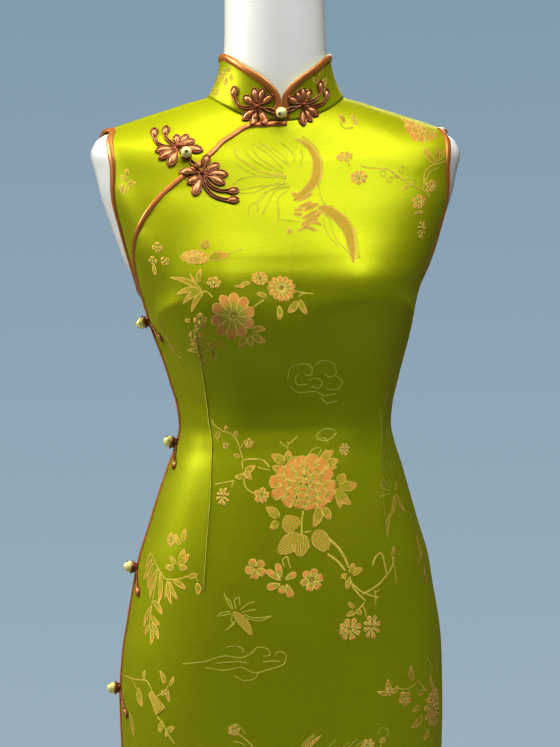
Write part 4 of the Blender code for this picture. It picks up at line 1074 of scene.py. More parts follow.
# %% Motifs
MOTIFS = {
    "collar_flowers": """
    rose 6 -7 3 6; rose 5 2 -3 5; flower 4 9 4 1 4; leaf 5 -2 8 6 14 / -12 -4 -16 -12""",
    "sprig": """
    stem 1.3 0 -8 3 2 1 12; leaf 6 3 2 12 8 / 2 6 -7 12 / 1 12 4 22; flower 6 -6 -4 2 5""",
    "phoenix": """
    wing 10.5 -12 3 -2 14 7 27 10 47 4 67 -12 81; wing 12.5 7 -9 18 -14 30 -26 39 -48 41 -88; feather 6.5 9
    -5 -8 -15 / 7 -12 -12 -24 / 5 -18 -13 -33; feather 5 0 -27 -16 -41; feather 5.5 2 -1 -14 -8; feather
    6.6 -7 5 -18 -1; feather 6.1 -9 4 -20 11; feather 5 1 13 -15 6 / 4 8 -12 -2 / 14 -12 2 -32; feather 4.5
    -8 -11 -19 -12 / -9 -18 -20 -17 / -7 -33 6 -40 / -2 -29 11 -33; flower 4 -24 -41 1 5; stem 1.6 -23 31
    -49 36 -66 47 -76 57 -77 67; tone 0.9 -23 28 -49 31 -73 26 -82 17 / -24 26 -43 19 -59 10 -75 8 / -24 23
    -42 13 -53 0 -64 -8 -66 -19 / -26 35 -44 48 -55 60 -60 71 / -26 39 -37 55 -48 66 -58 73 / -19 45 -29 53
    -41 67 -51 75; tone 0.8 -19 18 -35 13 -44 -2 -52 -20 / -23 13 -35 0 -35 -25 -12 -28 / -32 -6 -34 -17
    -37 -33 / 10 25 11 6 18 -8 26 -9 / 10 -13 20 -29 22 -45 34 -69 40 -78 / 12 -21 15 -42 26 -63 / -20 44
    -24 56 -34 66 -42 72 / -15 48 -14 58 -20 68 -28 76 / -10 46 -5 56 -6 68 / -22 22 -38 20 -58 17 -74 12 /
    -20 20 -34 16 -50 8 -56 -4 -56 -16 / -24 29 -46 30 -64 36 -78 48 / -25 33 -45 42 -60 54 -68 66""",
    "chrysanthemum": """
    daisy 23 0 0 14 10; daisy 16 53 27 7 13; daisy 10 31 39 4 8; flower 8 -17 34 3 6 / -33 -4 3 5 / -38 -18
    3 5; leaf 5 22 34 8 28; leaf 3.9 15 27 3 29; leaf 6.1 37 17 25 21; leaf 6.6 48 9 46 -6; leaf 7.7 68 13
    56 2; leaf 7.2 71 15 78 -1; stem 1.3 65 24 74 22 87 20; stem 1.1 70 16 73 20 79 21; stem 1.3 34 15 20
    7; leaf 7.2 17 -14 33 -14; leaf 7.7 19 -17 33 -27; leaf 6.6 17 -19 18 -31; leaf 7.2 14 -20 5 -32; leaf
    4.4 -42 -4 -51 -3; stem 1.4 -12 -23 -22 -30 -34 -37 -37 -39; leaf 4.4 -13 -24 -10 -30 / -19 -28 -27
    -24; leaf 6.6 -28 -32 -45 -26; leaf 5.5 -33 -35 -49 -33 / -34 -38 -29 -46; leaf 6.6 -22 -31 -21 -46 /
    -29 25 -68 41; leaf 2.9 -33 30 -42 47; leaf 6.1 -32 33 -30 52; leaf 7.2 -29 25 -61 22 / -29 25 -53 12;
    leaf 6.1 -28 24 -43 3; stem 1.3 -29 25 -24 23 -19 17; peony 15 -36 66 10; leaf 12.1 -22 63 1 70; stem
    1.1 -23 62 -9 68 14 79; bud 9.9 -25 76 -22 91""",
    "maple_sprays": """
    flower 7 3 18 2 4; flower 6 -6 2 2 4 / 9 1 2 4; leaf 6.6 -5 -3 -8 -17""",
    "peony_bough": """
    leaf 10 -22 20 -36 30; leaf 8.8 -20 22 -18 35; leaf 7.5 -23 16 -35 18; leaf 11.3 -17 23 -2 25; leaf 8.8
    16 20 23 35; leaf 8.2 18 19 32 34; leaf 8.8 20 17 38 22; leaf 7.5 18 15 36 15; leaf 11.3 34 0 44 9 / 36
    -2 59 -3; leaf 10 34 -6 52 -24; leaf 7.5 33 -8 38 -29; leaf 10 15 -24 9 -47; leaf 8.8 19 -26 27 -40;
    peony 36 0 0 30; leaf 10 -27 -37 -41 -24; leaf 8.2 -27 -39 -35 -49; bud 19.8 -8 -49 -20 -33 / -5 -52
    -29 -72; bud 17.6 -4 -52 -6 -78; bud 18.7 10 -50 24 -73; stem 1.7 -1 -28 -3 -40 -3 -51 2 -64 7 -68;
    stem 1.4 -1 -51 8 -50; stem 2.4 25 -58 35 -67 44 -81 48 -91; stem 2.2 24 -74 35 -82 45 -94; stem 1.2
    -17 -75 -23 -79 -21 -88 / -18 -75 -16 -84 -14 -89; flower 12 -51 -88 1 5; blossom 11.5 -24 -101 -40 -89
    / -24 -99 -29 -82 / -21 -100 -8 -93; blossom 12.1 -24 -104 -40 -108; blossom 11.5 -22 -105 -25 -115;
    blossom 12.7 -19 -104 -13 -119; flower 4 -1 -103 1 4; flower 13 8 -101 2 6; leaf 7.5 47 -99 38 -99 / 49
    -97 52 -84 / 51 -98 64 -91; leaf 6.3 49 -101 46 -113; stem 1.8 48 -98 52 -109 61 -120 67 -126 / 51 -106
    63 -116 76 -121 83 -123; stem 2 62 -118 76 -112 91 -100 98 -91 101 -80 / 91 -99 88 -84 84 -76 77 -81 74
    -90; stem 1.4 77 -114 78 -123 77 -131; stem 1.3 77 -117 84 -114; stem 1.4 66 -126 58 -134 51 -141 / 62
    -128 66 -137 67 -143; leaf 5 55 -132 47 -125; leaf 5.7 53 -134 44 -140 / 56 -133 61 -141; rose 14 49
    -154 12; rose 11 73 -153 13; stem 1.7 -36 16 -45 25 -55 26 -65 25; stem 1.2 -36 14 -45 16 -50 18; stem
    1.5 -65 25 -68 35 -72 46 -79 53 -89 56 -98 63 -100 68; stem 1.2 -69 35 -65 43; stem 1.4 -66 25 -65 15;
    leaf 5.7 -93 56 -95 46; leaf 4.4 -85 55 -84 62; flower 4 -84 40 1 4; leaf 5 -73 48 -72 56; flower 6 -59
    42 1 5; leaf 4.4 -68 28 -76 30; leaf 7.5 -63 10 -51 19; leaf 6.3 -64 9 -74 8; flower 5 -61 10 1 4; leaf
    5 -61 8 -55 4; stem 1.3 -64 6 -62 -3 -56 -8 -52 -10; flower 9 -45 -12 1 5; stem 1.3 -73 4 -83 2 -95 0;
    stem 1.2 -75 3 -77 -5; rose 8 -86 -13 10; stem 1.1 -18 35 -22 40 -27 44 / -18 35 -18 44 / -18 40 -8 49;
    rose 7 43 34 7; toneleaf 13.8 35 53 10 47; toneleaf 11.3 18 36 3 27; tone 1.1 26 39 23 45 12 48""",
    "insect": """
    bud 9.9 -7 4 13 -22; tone 1.2 -7 4 -12 12 -17 24 / -7 5 -11 16 -15 18 / -4 6 -6 16 -1 19 0 9 / 0 5 8
    12 16 14 / 1 3 10 5 17 6 / 3 1 17 -3 33 -1 19 -6 6 -3 / -9 2 -19 0 -24 -1 -19 3 -10 4 / -5 -9 -12 -13
    -16 -17 -9 -10 -4 -6 / -8 2 -9 -5 -6 -10""",
    "cloud_wide": """
    tone 1.1 -65 -5 -40 -2 -19 4 -3 2 9 7 15 13 26 10 28 4 20 3 / -40 -8 -19 -11 -3 -8 13 -14 26 -11 43 -5
    45 3 37 8 32 3 / -19 13 -9 14 0 10 -2 5 / -10 -16 3 -22 14 -19 16 -13 / 20 -3 30 -2 40 -3 / -29 -4 -8
    -2 7 -4""",
    "cloud_round": """
    tone 1.1 -24 -2 -21 12 -7 16 2 10 0 3 -7 4 / -11 6 -16 0 -13 -7 -2 -6 / 3 13 13 19 26 14 28 4 19 1 15 6
    / 28 2 35 -5 28 -13 17 -12 / -22 -8 -11 -15 5 -14 16 -19 29 -17 / -4 -2 6 0 13 -5 8 -11 0 -8 / 10 -20
    19 -27 30 -24""",
    "hip_spray": """
    flower 8 5 37 2 6; leaf 7.2 19 35 23 50; leaf 5.5 19 32 11 44; leaf 8.8 18 14 23 29; leaf 6.6 16 12 30
    24 / 14 10 5 20 / 17 8 29 8 / 12 6 -1 9; stem 1.5 -27 21 -12 8 4 -4 17 -3 31 1; leaf 6.1 29 -2 41 2;
    leaf 6.6 39 -6 40 -20; stem 1.2 31 1 38 -1 40 -7; leaf 5 4 -5 1 -24; leaf 5.5 6 -6 11 -31 / 7 -5 19
    -25; leaf 6.1 10 -5 28 -15; leaf 7.7 -29 22 -39 5 / -25 16 -40 -8 / -20 12 -26 -17; leaf 8.2 -11 7 -21
    -27; leaf 6.6 -8 3 -8 -33; stem 1.4 -12 -1 -16 -25 -19 -50 -15 -64; leaf 7.2 -16 -27 -1 -42; leaf 6.6
    -17 -33 -29 -57 / -18 -42 -3 -52; leaf 6.1 -17 -50 -5 -68 / -17 -56 -15 -74; leaf 5.5 -19 -53 -26 -65""",
    "bell_spray": """
    stem 1.4 -64 20 -36 20 -13 21 -4 11; stem 1.2 -41 21 -25 9; leaf 5 -16 21 -15 32; leaf 9.4 -24 12 -17
    -8; bell 16.5 -7 10 9 -12; leaf 7.7 -44 -17 -34 -42; leaf 5.5 12 18 5 33; leaf 4.4 17 17 22 28; stem
    1.3 2 5 10 10 17 18; leaf 3.9 16 14 19 -1; flower 4 11 10 1 4; stem 1.4 2 -15 10 -23 15 -32 24 -44;
    leaf 6.1 10 -20 6 -34; leaf 6.6 15 -32 24 -25; leaf 3.3 13 -30 13 -38 / -61 5 -66 -13""",
    "stem_flower": """
    flower 7 -3 5 2 6; stem 1.3 1 2 10 -5 18 -14; tone 1.1 -9 8 -1 12 5 7 10 0 / -4 -6 4 -8 10 -12""",
    "shoulder_spray": """
    leaf 5.5 -34 49 -42 53; flower 4 -24 47 1 4; tone 1.1 -44 50 -38 44 -28 43; rose 10 -44 16 7; stem 1.3
    -41 11 -39 2; flower 10 -30 -12 2 7; stem 1.4 -28 3 -16 -2 -1 -4 15 -17 28 -29 43 -38 53 -49; oval 3 -3
    -10 4 / 3 -18 4 / 18 -8 4; stem 1.8 6 -15 15 -18; stem 1.1 22 -18 31 -23; oval 2 31 -26 3; leaf 3.3 26
    -27 15 -33; flower 9 54 -35 2 6; flower 10 37 -51 2 6; rose 7 41 -87 12; leaf 4.4 30 -65 45 -66; stem
    1.7 43 -38 46 -16 59 -9 77 -9; stem 1.4 43 -35 53 -17 67 -14; leaf 7.2 61 -8 48 14; leaf 6.6 63 -7 62
    13 / 64 -7 77 5; leaf 5.5 61 -9 47 2; peony 24 59 28 11""",
    "side_lily": """
    leaf 5.5 1 3 5 13 / 2 0 18 -21 / -2 -1 -11 -24; leaf 5 -11 -21 -15 -45; stem 1 -5 6 -14 11 -21 20 / -6
    4 -17 5 -24 11 / -7 1 -18 -1 -25 -2 / -4 8 -10 16 -17 25; tone 1 -9 25 -12 46 -16 73 -19 91 / -1 16 -2
    46 -2 72; leaf 4.4 -11 -65 -8 -54; stem 1.1 -11 -65 -7 -82 -5 -95; leaf 4.4 -2 100 -7 110""",
    "side_leaf": """
    leaf 6.6 -7 -15 -3 17; leaf 4.4 -2 -6 7 0; leaf 5.5 10 -37 6 -15""",
    "hip_peony": """
    leaf 5.5 -49 2 -63 5; leaf 6.6 -48 3 -50 17; leaf 5.5 -47 1 -38 9; rose 6 -49 4 6; stem 1.3 -41 7 -30 4
    -20 6 -11 11; leaf 7.2 -18 11 -22 29; flower 9 -29 -6 2 5; stem 1.3 -11 12 -2 2 4 -3; leaf 5.5 0 0 -11
    -6; stem 1.3 14 17 9 27 2 36 / 24 16 27 34 19 47; leaf 5.5 18 -3 9 17; peony 18 17 -22 22; leaf 7.7 -5
    -26 -22 -38; leaf 5.5 -8 -16 -20 -22; leaf 6.6 5 -42 -4 -54""",
    "low_blossom": """
    rose 9 -5 -3 7; leaf 5.5 7 -1 16 4; tone 1.1 5 7 12 14 19 10 16 3""",
    "waist_sprig": """
    leaf 5.5 3 19 15 -2; leaf 3.3 7 15 6 0; tone 1.1 10 10 22 -6 32 -7 / 3 5 13 -9 23 -22""",
}

FRONT_PLACES = """
    phoenix 25 1259 1; chrysanthemum -63 1113 1; maple_sprays -141 1173 1; peony_bough 10 936 1; insect -57
    800 1; cloud_wide -53 754 1; cloud_round 16 1046 1; hip_spray -142 840 1; bell_spray -149 708 1;
    stem_flower -59 675 1; shoulder_spray 109 1297 1; side_lily 119 921 1; side_leaf 157 858 1; hip_peony 154
    710 1; low_blossom 85 662 1; waist_sprig -153 1078 1; phoenix 18 592 -1; chrysanthemum -74 540 1;
    shoulder_spray 62 520 -1; peony_bough 6 432 1; cloud_round -120 600 1; bell_spray -120 470 -1; hip_peony
    160 560 1; hip_spray 128 400 -1; cloud_wide 40 330 1; insect -70 330 1; stem_flower 90 270 1; maple_sprays
    -140 330 1; chrysanthemum -40 290 -1; waist_sprig 150 320 1"""
BACK_PLACES = """
    phoenix -20 1262 -1; cloud_round 70 1240 1; cloud_round -95 1190 1; chrysanthemum 58 1128 1; maple_sprays
    -100 1255 1; peony_bough -6 936 -1; cloud_round -50 1070 1; insect 66 800 -1; cloud_wide 44 752 1;
    hip_spray 140 842 -1; bell_spray 148 708 -1; stem_flower 60 676 1; side_lily -120 921 -1; hip_peony -150
    712 -1; low_blossom -86 662 1; waist_sprig 120 1090 1; phoenix -22 592 1; chrysanthemum 74 540 -1;
    shoulder_spray -70 520 1; peony_bough -8 428 -1; cloud_round 120 600 1; bell_spray 120 470 1; hip_peony
    -160 560 -1; hip_spray -128 400 1; cloud_wide -40 330 1; insect 70 330 1; stem_flower -90 270 1;
    maple_sprays 140 330 -1; chrysanthemum 40 290 1"""
SMALL_PLACES = "sprig -172 1262 1; waist_sprig -150 1215 1"
DART_WIDTH = 16  # mm: the ridges of this half width are the long darts

for name, panel, places, creases in (
        ("front_brocade", front_panel, FRONT_PLACES, FRONT_CREASES),
        ("back_brocade", back_panel, BACK_PLACES, BACK_CREASES),
        ("small_front_brocade", small_panel, SMALL_PLACES, "")):
    woven = Brocade(panel)
    draw_all(woven, places)
    # The darts are sewn along their ridges: a fine raised line shows there, and its lighter green is partly a
    # painted highlight along the lit ridge.
    for form, _, half_width, line in each_crease(creases):
        if form == "roof" and half_width == DART_WIDTH:
            draw_strip(woven, line, 0.9, "plain", PAINTED_SHEEN_GREEN, "heart")
    made = install(woven.piece(name), "lime_satin")
    print(name, woven.strips, "strips,", len(made.data.polygons), "faces")

# %% [markdown]
# ## Flowers on the collar
# The collar is cut from the same brocade, so parts of the motifs show on it. It has no panel of its own, so
# a small chart says where a place lies that is so far round it and so far up from its seam.

# %% Collar brocade
class CollarChart:
    """Places on the collar in metres: across from centre front and up from the neck seam."""

    RADIUS, HEM_MARGIN = 0.062, 0.0070

    def at(self, across, up):
        turn = np.degrees(across / self.RADIUS)
        return turn, up / collar_height(turn)

    def holds(self, across, up):
        turn, part = self.at(across, up)
        top = collar_part(turn) - self.HEM_MARGIN / collar_height(turn)
        return (np.abs(turn) > 8) & (np.abs(turn) < 179) & (part > 0.04) & (part < top)

    def place(self, across, up, off):
        turn, part = self.at(across, up)
        return collar_skin(turn, part) + normal_of(collar_skin, turn, part, PART_STEP) * off[..., None]


COLLAR_PLACES = """
    collar_flowers -66 26 1; maple_sprays -84 6 1; sprig 47 30 -1; collar_flowers 92 18 1; sprig -118 20 1;
    sprig 132 22 1; maple_sprays -158 22 1; collar_flowers 176 20 -1"""
woven = Brocade(CollarChart())
draw_all(woven, COLLAR_PLACES)
install(woven.piece("collar_brocade"), "lime_satin")
print("collar_brocade", woven.strips, "strips")

# %% [markdown]
# ## Satin bindings
# Every edge of the dress is bound with a strip of copper satin cut on the slant, folded over the edge and
# filled so that it stands up round. It is a half-round section swept along the edge, with its foot inside
# the cloth so that no gap shows. Cords are round sections swept in the same way.

# %% Satin of bindings and cords
CORD_THREAD = 1.2  # mm from thread to thread


def cord_material(name, high, low, roughness):
    """Copper satin: fine slanting threads, drawn 1.2 mm apart, between two depths of dye: an uneven dye, and
    painted shade that darkens the grooves between threads and lightens their crests.
    """
    made, tree, shader = new_material(name, {
        "Roughness": roughness, "Metallic": 0.22, "Sheen Weight": 0.35, "Sheen Roughness": 0.4,
        "Sheen Tint": linear("#FFD9A8"), "Specular IOR Level": 0.7})
    run = add_node(tree, "SeparateXYZ", links={0: add_node(tree, "UVMap", uv_map="along")})
    round_it = add_node(tree, "Math", {1: 2 * math.pi * 3}, {0: run}, operation="MULTIPLY")
    slanted = add_node(tree, "Math", {1: 2 * math.pi / CORD_THREAD}, {0: run.outputs[1], 2: round_it},
                       operation="MULTIPLY_ADD")
    thread = add_node(tree, "Math", links={0: slanted}, operation="SINE")
    place = add_node(tree, "TexCoord").outputs["Object"]
    dye = add_node(tree, "TexNoise", {"Scale": 160.0, "Detail": 3.0}, {"Vector": place})
    # Painted shade: lighter on the crests of the threads, where the bump rises, and darker in the grooves
    # between them.
    depth = add_node(tree, "MapRange", {"From Min": -2.0, "From Max": 2.0}, {"Value": thread})
    thread_shade_and_dye = add_node(tree, "Math", links={0: depth, 1: dye}, operation="MULTIPLY")
    colour = add_node(tree, "Mix", {6: linear(low), 7: linear(high)}, {0: thread_shade_and_dye}, data_type="RGBA")
    bump = add_node(tree, "Bump", {"Strength": 0.3, "Distance": 0.08 * MM}, {"Height": thread})
    connect(shader, {"Base Color": colour.outputs[2], "Normal": bump})
    return made


# Each pair is the colour on the threads' crests and, darker, in their grooves: the difference is painted
# shade.
binding_satin = cord_material("copper_bias_satin", "#E3A35C", "#C08448", 0.34)
cord_satin = cord_material("copper_satin_cord", "#C2835C", "#925A3C", 0.24)
filler_satin = cord_material("copper_satin_filling", "#EBB482", "#D29A68", 0.30)
print("three copper satins")

# %% Sweeping a section
ROUND = np.array([(math.sin(a), -math.cos(a)) for a in np.linspace(0, 2 * math.pi, 8, endpoint=False)])
BINDING_WIDTH, BINDING_HEIGHT, BINDING_FOOT = 0.0062, 0.0020, 0.0011
HALF_ROUND = np.array([(0.0, -BINDING_FOOT), (-BINDING_WIDTH / 2, -BINDING_FOOT)]
                      + [(-math.cos(a) * BINDING_WIDTH / 2, math.sin(a) ** 0.8 * BINDING_HEIGHT)
                         for a in np.linspace(0, math.pi, 9)]
                      + [(BINDING_WIDTH / 2, -BINDING_FOOT)])
WIDER = 1.25  # the bindings of armholes and collar are wider by this much
BINDING_STEP, COLLAR_STEP, ARMHOLE_INSET = 0.003, 0.0025, 0.003


def sweep(path, outs, section, closed=False, scales=None):
    """Points, faces and UVs of a section swept along a path. Its pairs are across and out, in metres."""
    path = np.asarray(path, float)
    outs = np.asarray(outs, float) + 0 * path
    tangent = np.roll(path, -1, axis=0) - np.roll(path, 1, axis=0) if closed else np.gradient(path, axis=0)
    across = unit(np.cross(outs, tangent))
    scales = np.ones((len(path), 2)) if scales is None else np.asarray(scales, float)
    points = (path[:, None] + across[:, None] * (section[:, 0] * scales[:, :1])[..., None]
              + outs[:, None] * (section[:, 1] * scales[:, 1:])[..., None])
    rings, count = points.shape[:2]
    faces = grid_faces(rings, count, closed=True)
    last = (rings - 1) * count
    if closed:
        faces += [[last + i, last + (i + 1) % count, (i + 1) % count, i] for i in range(count)]
    else:
        faces += [list(range(count))[::-1], [last + i for i in range(count)]]
    around, run = np.arange(count) / count, run_of(path) / MM
    uvs = np.stack(np.broadcast_arrays(around[None, :], run[:, None]), axis=-1).reshape(-1, 2)
    return points.reshape(-1, 3), faces, uvs


def join_sweeps(sweeps):
    """Several sweeps as one set of points, faces and UVs."""
    points, faces, uvs, count = [], [], [], 0
    for p, f, uv in sweeps:
        points.append(p)
        faces += [[corner + count for corner in face] for face in f]
        uvs.append(uv)
        count += len(p)
    return np.concatenate(points), faces, np.concatenate(uvs)


def make_swept(name, sweeps, material, *nodes, slot="copper_satin"):
    """One piece from sweeps, with its faces turned outwards."""
    points, faces, uvs = join_sweeps(sweeps)
    made = make_piece(name, points, faces, material, layers={"along": uvs})
    work = bmesh.new()
    work.from_mesh(made.data)
    bmesh.ops.recalc_face_normals(work, faces=work.faces)
    work.to_mesh(made.data)
    work.free()
    return install(made, slot, *nodes)


def spaced(points, spacing, *others, closed=False):
    """Points at equal distances along a line, with other values read at the same places."""
    if closed:
        points = np.concatenate([points, points[:1]])
        others = [np.concatenate([values, values[:1]]) for values in others]
    run = run_of(points)
    count = int(run[-1] / spacing)
    steps = np.linspace(0, run[-1], count + 1)[:count if closed else None]
    found = [np.column_stack([np.interp(steps, run, v[:, i]) for i in range(v.shape[1])])
             for v in (points, *others)]
    return found if others else found[0]


print("a cord has", len(ROUND), "points round it, a binding", len(HALF_ROUND))

# %% Binding of the opening
def opening_binding():
    """Up the side seam from the slit, along the curved edge, to centre front."""
    # The levels lie closer where the edge bends towards centre front.
    levels = np.concatenate([np.linspace(SLIT_TOP + 0.0025, 1.335, 420), np.linspace(1.3352, 1.3525, 140)])
    turns = opening_edge(levels)
    # Its middle lies 0.8 mm in from the edge, and 1.2 mm down the side seam.
    inset = 0.0008 + 0.0004 * smooth_step((1.12 - levels) / 0.045)
    turns = turns + turn_step(turns, levels, inset)
    # The last part lies just under the collar's seam and crosses centre front.
    turns = np.append(turns, np.linspace(turns[-1] + 1, 5.5, 12))
    levels = np.append(levels, np.full(12, levels[-1]))
    path = front_skin(turns, levels)
    return spaced(path, BINDING_STEP, normal_of(skin, turns, levels))


path, outs = opening_binding()
path = (path + np.roll(path, 1, axis=0) + np.roll(path, -1, axis=0))[1:-1] / 3
opening_piece = make_swept("opening_binding", [sweep(path, outs[1:-1], HALF_ROUND)], binding_satin,
                           "opening_piping")
print("opening binding", round(len(path) * BINDING_STEP, 2), "m long")

# %% Bindings of the armholes and the collar
def armhole_binding(side):
    """Round an armhole, on both panels' edges."""
    part = (1 - np.cos(np.linspace(0, math.pi, 90))) / 2
    levels = UNDERARM + (SHOULDER_TIP - UNDERARM) * part[1:-1]
    ends = np.array((UNDERARM - ARMHOLE_INSET, SHOULDER_TIP + 0.0012))
    bottom, top = turn_at(np.array((SEAM_Y, SHOULDER_Y)), ends, side)
    front = turn_at(armhole.read("front_y", levels) - ARMHOLE_INSET, levels, side)
    back = turn_at(armhole.read("back_y", levels) + ARMHOLE_INSET, levels, side)
    turns = np.concatenate([[bottom], front, [top], back[::-1]])
    levels = np.concatenate([ends[:1], levels, ends[1:], levels[::-1]])
    path, outs = spaced(skin(turns, levels), BINDING_STEP, normal_of(skin, turns, levels), closed=True)
    for _ in range(2):
        path = (path * 2 + np.roll(path, 1, axis=0) + np.roll(path, -1, axis=0)) / 4
    return sweep(path, unit(outs), HALF_ROUND * (WIDER, 1.0), closed=True)


armhole_pieces = [make_swept(f"armhole_binding_{word}", [armhole_binding(side)], binding_satin,
                             f"armhole_piping_{word}") for word, side in (("right", -1), ("left", 1))]


def collar_binding():
    """Up the front edge of the collar, round its corner and along the top."""
    inset = WIDER * BINDING_WIDTH / 2
    edge = math.degrees(inset / COLLAR_TOP["front"])
    turns = collar_turns(240)
    turns = turns[np.abs(turns) >= edge]
    parts = collar_part(turns) - inset / collar_height(turns)
    rise = np.linspace(0.06, 1.0, 12)
    first, last = (np.copysign(edge, t) for t in (turns[0], turns[-1]))
    turns = np.concatenate([np.full(12, first), turns, np.full(12, last)])
    parts = np.concatenate([rise * parts[0], parts, rise[::-1] * parts[-1]])
    outs = normal_of(collar_skin, turns, parts, PART_STEP)
    path, outs = spaced(collar_skin(turns, parts), COLLAR_STEP, outs)
    for _ in range(3):
        path[1:-1] = (path[1:-1] * 2 + path[2:] + path[:-2]) / 4
    return sweep(path, unit(outs), HALF_ROUND * (WIDER, 1.0))


collar_edge = make_swept("collar_binding", [collar_binding()], binding_satin, "collar_piping")
print("armholes and collar bound")

# %% [markdown]
# ## Flower frogs
# Each frog is one long satin cord, bent into petals and tendrils round a middle and sewn down. Inside each
# petal sits a stuffed core. Two cords run from each flower to the bead, or to the loop that takes it. The
# cords are laid on the cloth by casting rays at what is already there, so that they climb over the
# bindings.

# %% Laying pieces on the dress
graph = bpy.context.evaluated_depsgraph_get()
graph.update()
dressed = [BVHTree.FromObject(piece, graph)
           for piece in (*cloth_pieces.values(), opening_piece, *armhole_pieces, collar_edge)]
CORD_RADIUS = 0.00092
RAY_LENGTH, RAY_START, PROBE = 0.9, 0.03, 0.0008


def nearest_hit(start, way):
    """The first point that a ray meets on the dress."""
    hits = [tree.ray_cast(start, way, RAY_LENGTH) for tree in dressed]
    hits = [(hit[3], hit[0]) for hit in hits if hit[0] is not None]
    return min(hits, key=lambda hit: hit[0])[1] if hits else None


class Patch:
    """A small flat frame on the dress: its middle, and the directions across, up and out."""

    def __init__(self, middle, out):
        self.middle, self.out = Vector(middle), Vector(out).normalized()
        self.across = Vector((0, 0, 1)).cross(self.out).normalized()
        self.up = self.out.cross(self.across)

    def height(self, u, w):
        start = self.middle + self.across * u + self.up * w + self.out * RAY_START
        hit = nearest_hit(start, -self.out)
        return (hit - self.middle).dot(self.out) if hit is not None else 0.0

    def lay(self, places, lift, closed=False):
        """Points over the dress at pairs of across and up, smoothed so that a cord has no kinks."""
        places = np.asarray(places, float)
        heights = np.array([max(self.height(u, w), self.height(u + PROBE, w), self.height(u, w + PROBE))
                            for u, w in places])
        for _ in range(2):
            near = np.pad(heights, 1, mode="wrap" if closed else "edge")
            heights = np.maximum(heights, (near[:-2] + near[2:] + 2 * heights) / 4)
        frame_axes = np.array((self.across, self.up, self.out))
        return np.array(self.middle) + np.column_stack((places, heights + lift)) @ frame_axes


def front_patch(x, z, reach=0.006):
    """The frame where a ray from the front meets the dress."""
    ahead = Vector((0, 1, 0))
    points = [nearest_hit(Vector((x + dx, -0.4, z + dz)), ahead)
              for dx, dz in ((0, 0), (-reach, 0), (reach, 0), (0, -reach), (0, reach))]
    return Patch(points[0], (points[2] - points[1]).cross(points[4] - points[3]))


print("collar bead lies at", [round(x, 4) for x in front_patch(-0.001, 1.329).middle])

# %% Petals and tendrils of cord
PETAL_START, CORE_START, CORE_END, PETAL_HEIGHT = 0.0026, 0.24, 0.0015, 0.0026
TENDRIL_GAP, LOOP_WIDTH, LOOP_FROM_TIP, LOOP_LENGTH = 0.0012, 0.0025, 0.0056, 0.0048
KNOT_REACH, KNOT_WIDTH, KNOT_HEIGHT = 0.0030, 0.0028, 0.0058


def cord_loop(patch, line, gaps):
    """A cord that goes out along one side of a line and comes back along the other."""
    line, gaps = np.asarray(line, float), np.asarray(gaps, float)
    tangent = unit(np.gradient(line, axis=0))
    side = np.column_stack((-tangent[:, 1], tangent[:, 0]))
    ring = np.concatenate([line + side * gaps[:, None], (line - side * gaps[:, None])[::-1]])
    path = patch.lay(ring, CORD_RADIUS + 0.0002)
    return sweep(path, patch.out, ROUND * CORD_RADIUS, closed=True)


def stuffed_core(patch, line, widths, height):
    """A plump filling along a line, like a seed."""
    path = patch.lay(line, 0.0004)
    t = np.linspace(0, 1, len(line))
    bulge = np.sin(math.pi * np.clip(t, 0.02, 0.985) ** 1.25) ** 0.6
    scales = np.column_stack((np.asarray(widths) * bulge, height * bulge))
    return sweep(path, patch.out, ROUND * 1.0, scales=scales)


def straight(angle, start, end, count):
    reach = np.linspace(start, end, count)
    return np.column_stack((reach * math.cos(angle), reach * math.sin(angle)))


def petal_sweeps(patch, direction, length, width):
    """The cord and the core of one petal."""
    angle, half = math.radians(direction), width / 2 - CORD_RADIUS * 0.8
    t = np.linspace(0, 1, 14)
    gaps = np.maximum(half * np.sin(math.pi * t**1.9) ** 0.75, 0.0004)
    loop = cord_loop(patch, straight(angle, PETAL_START, length - CORD_RADIUS, 14), gaps)
    core = stuffed_core(patch, straight(angle, length * CORE_START, length - CORE_END, 10),
                        np.full(10, max(half - CORD_RADIUS * 0.45, 0.0009)), PETAL_HEIGHT)
    return loop, core


def tendril_sweeps(patch, points):
    """Two cords side by side that part round a core at their tip."""
    line = smooth_path(np.array(points) / MM, 1.3) * MM
    run = run_of(line)
    from_tip = run[-1] - run
    gaps = TENDRIL_GAP + LOOP_WIDTH * np.exp(-(((from_tip - LOOP_FROM_TIP) / LOOP_LENGTH) ** 2))
    gaps[-1], gaps[-2] = 0.0009, 0.0025
    tip = line[(from_tip < 0.0130) & (from_tip > 0.0006)]
    return cord_loop(patch, line, gaps), stuffed_core(patch, tip, np.full(len(tip), 0.0030), 0.0028)


def knot_sweep(patch):
    """The round knot in the middle of a flower."""
    line = straight(0.5, -KNOT_REACH, KNOT_REACH, 9)
    return stuffed_core(patch, line, np.full(9, KNOT_WIDTH), KNOT_HEIGHT)


def make_cords(name, loops, cores):
    """The cord of an ornament, which stands for its solid, and the fillings in it."""
    make_swept(name + "_cord", loops, cord_satin, name)
    make_swept(name + "_filling", cores, filler_satin)


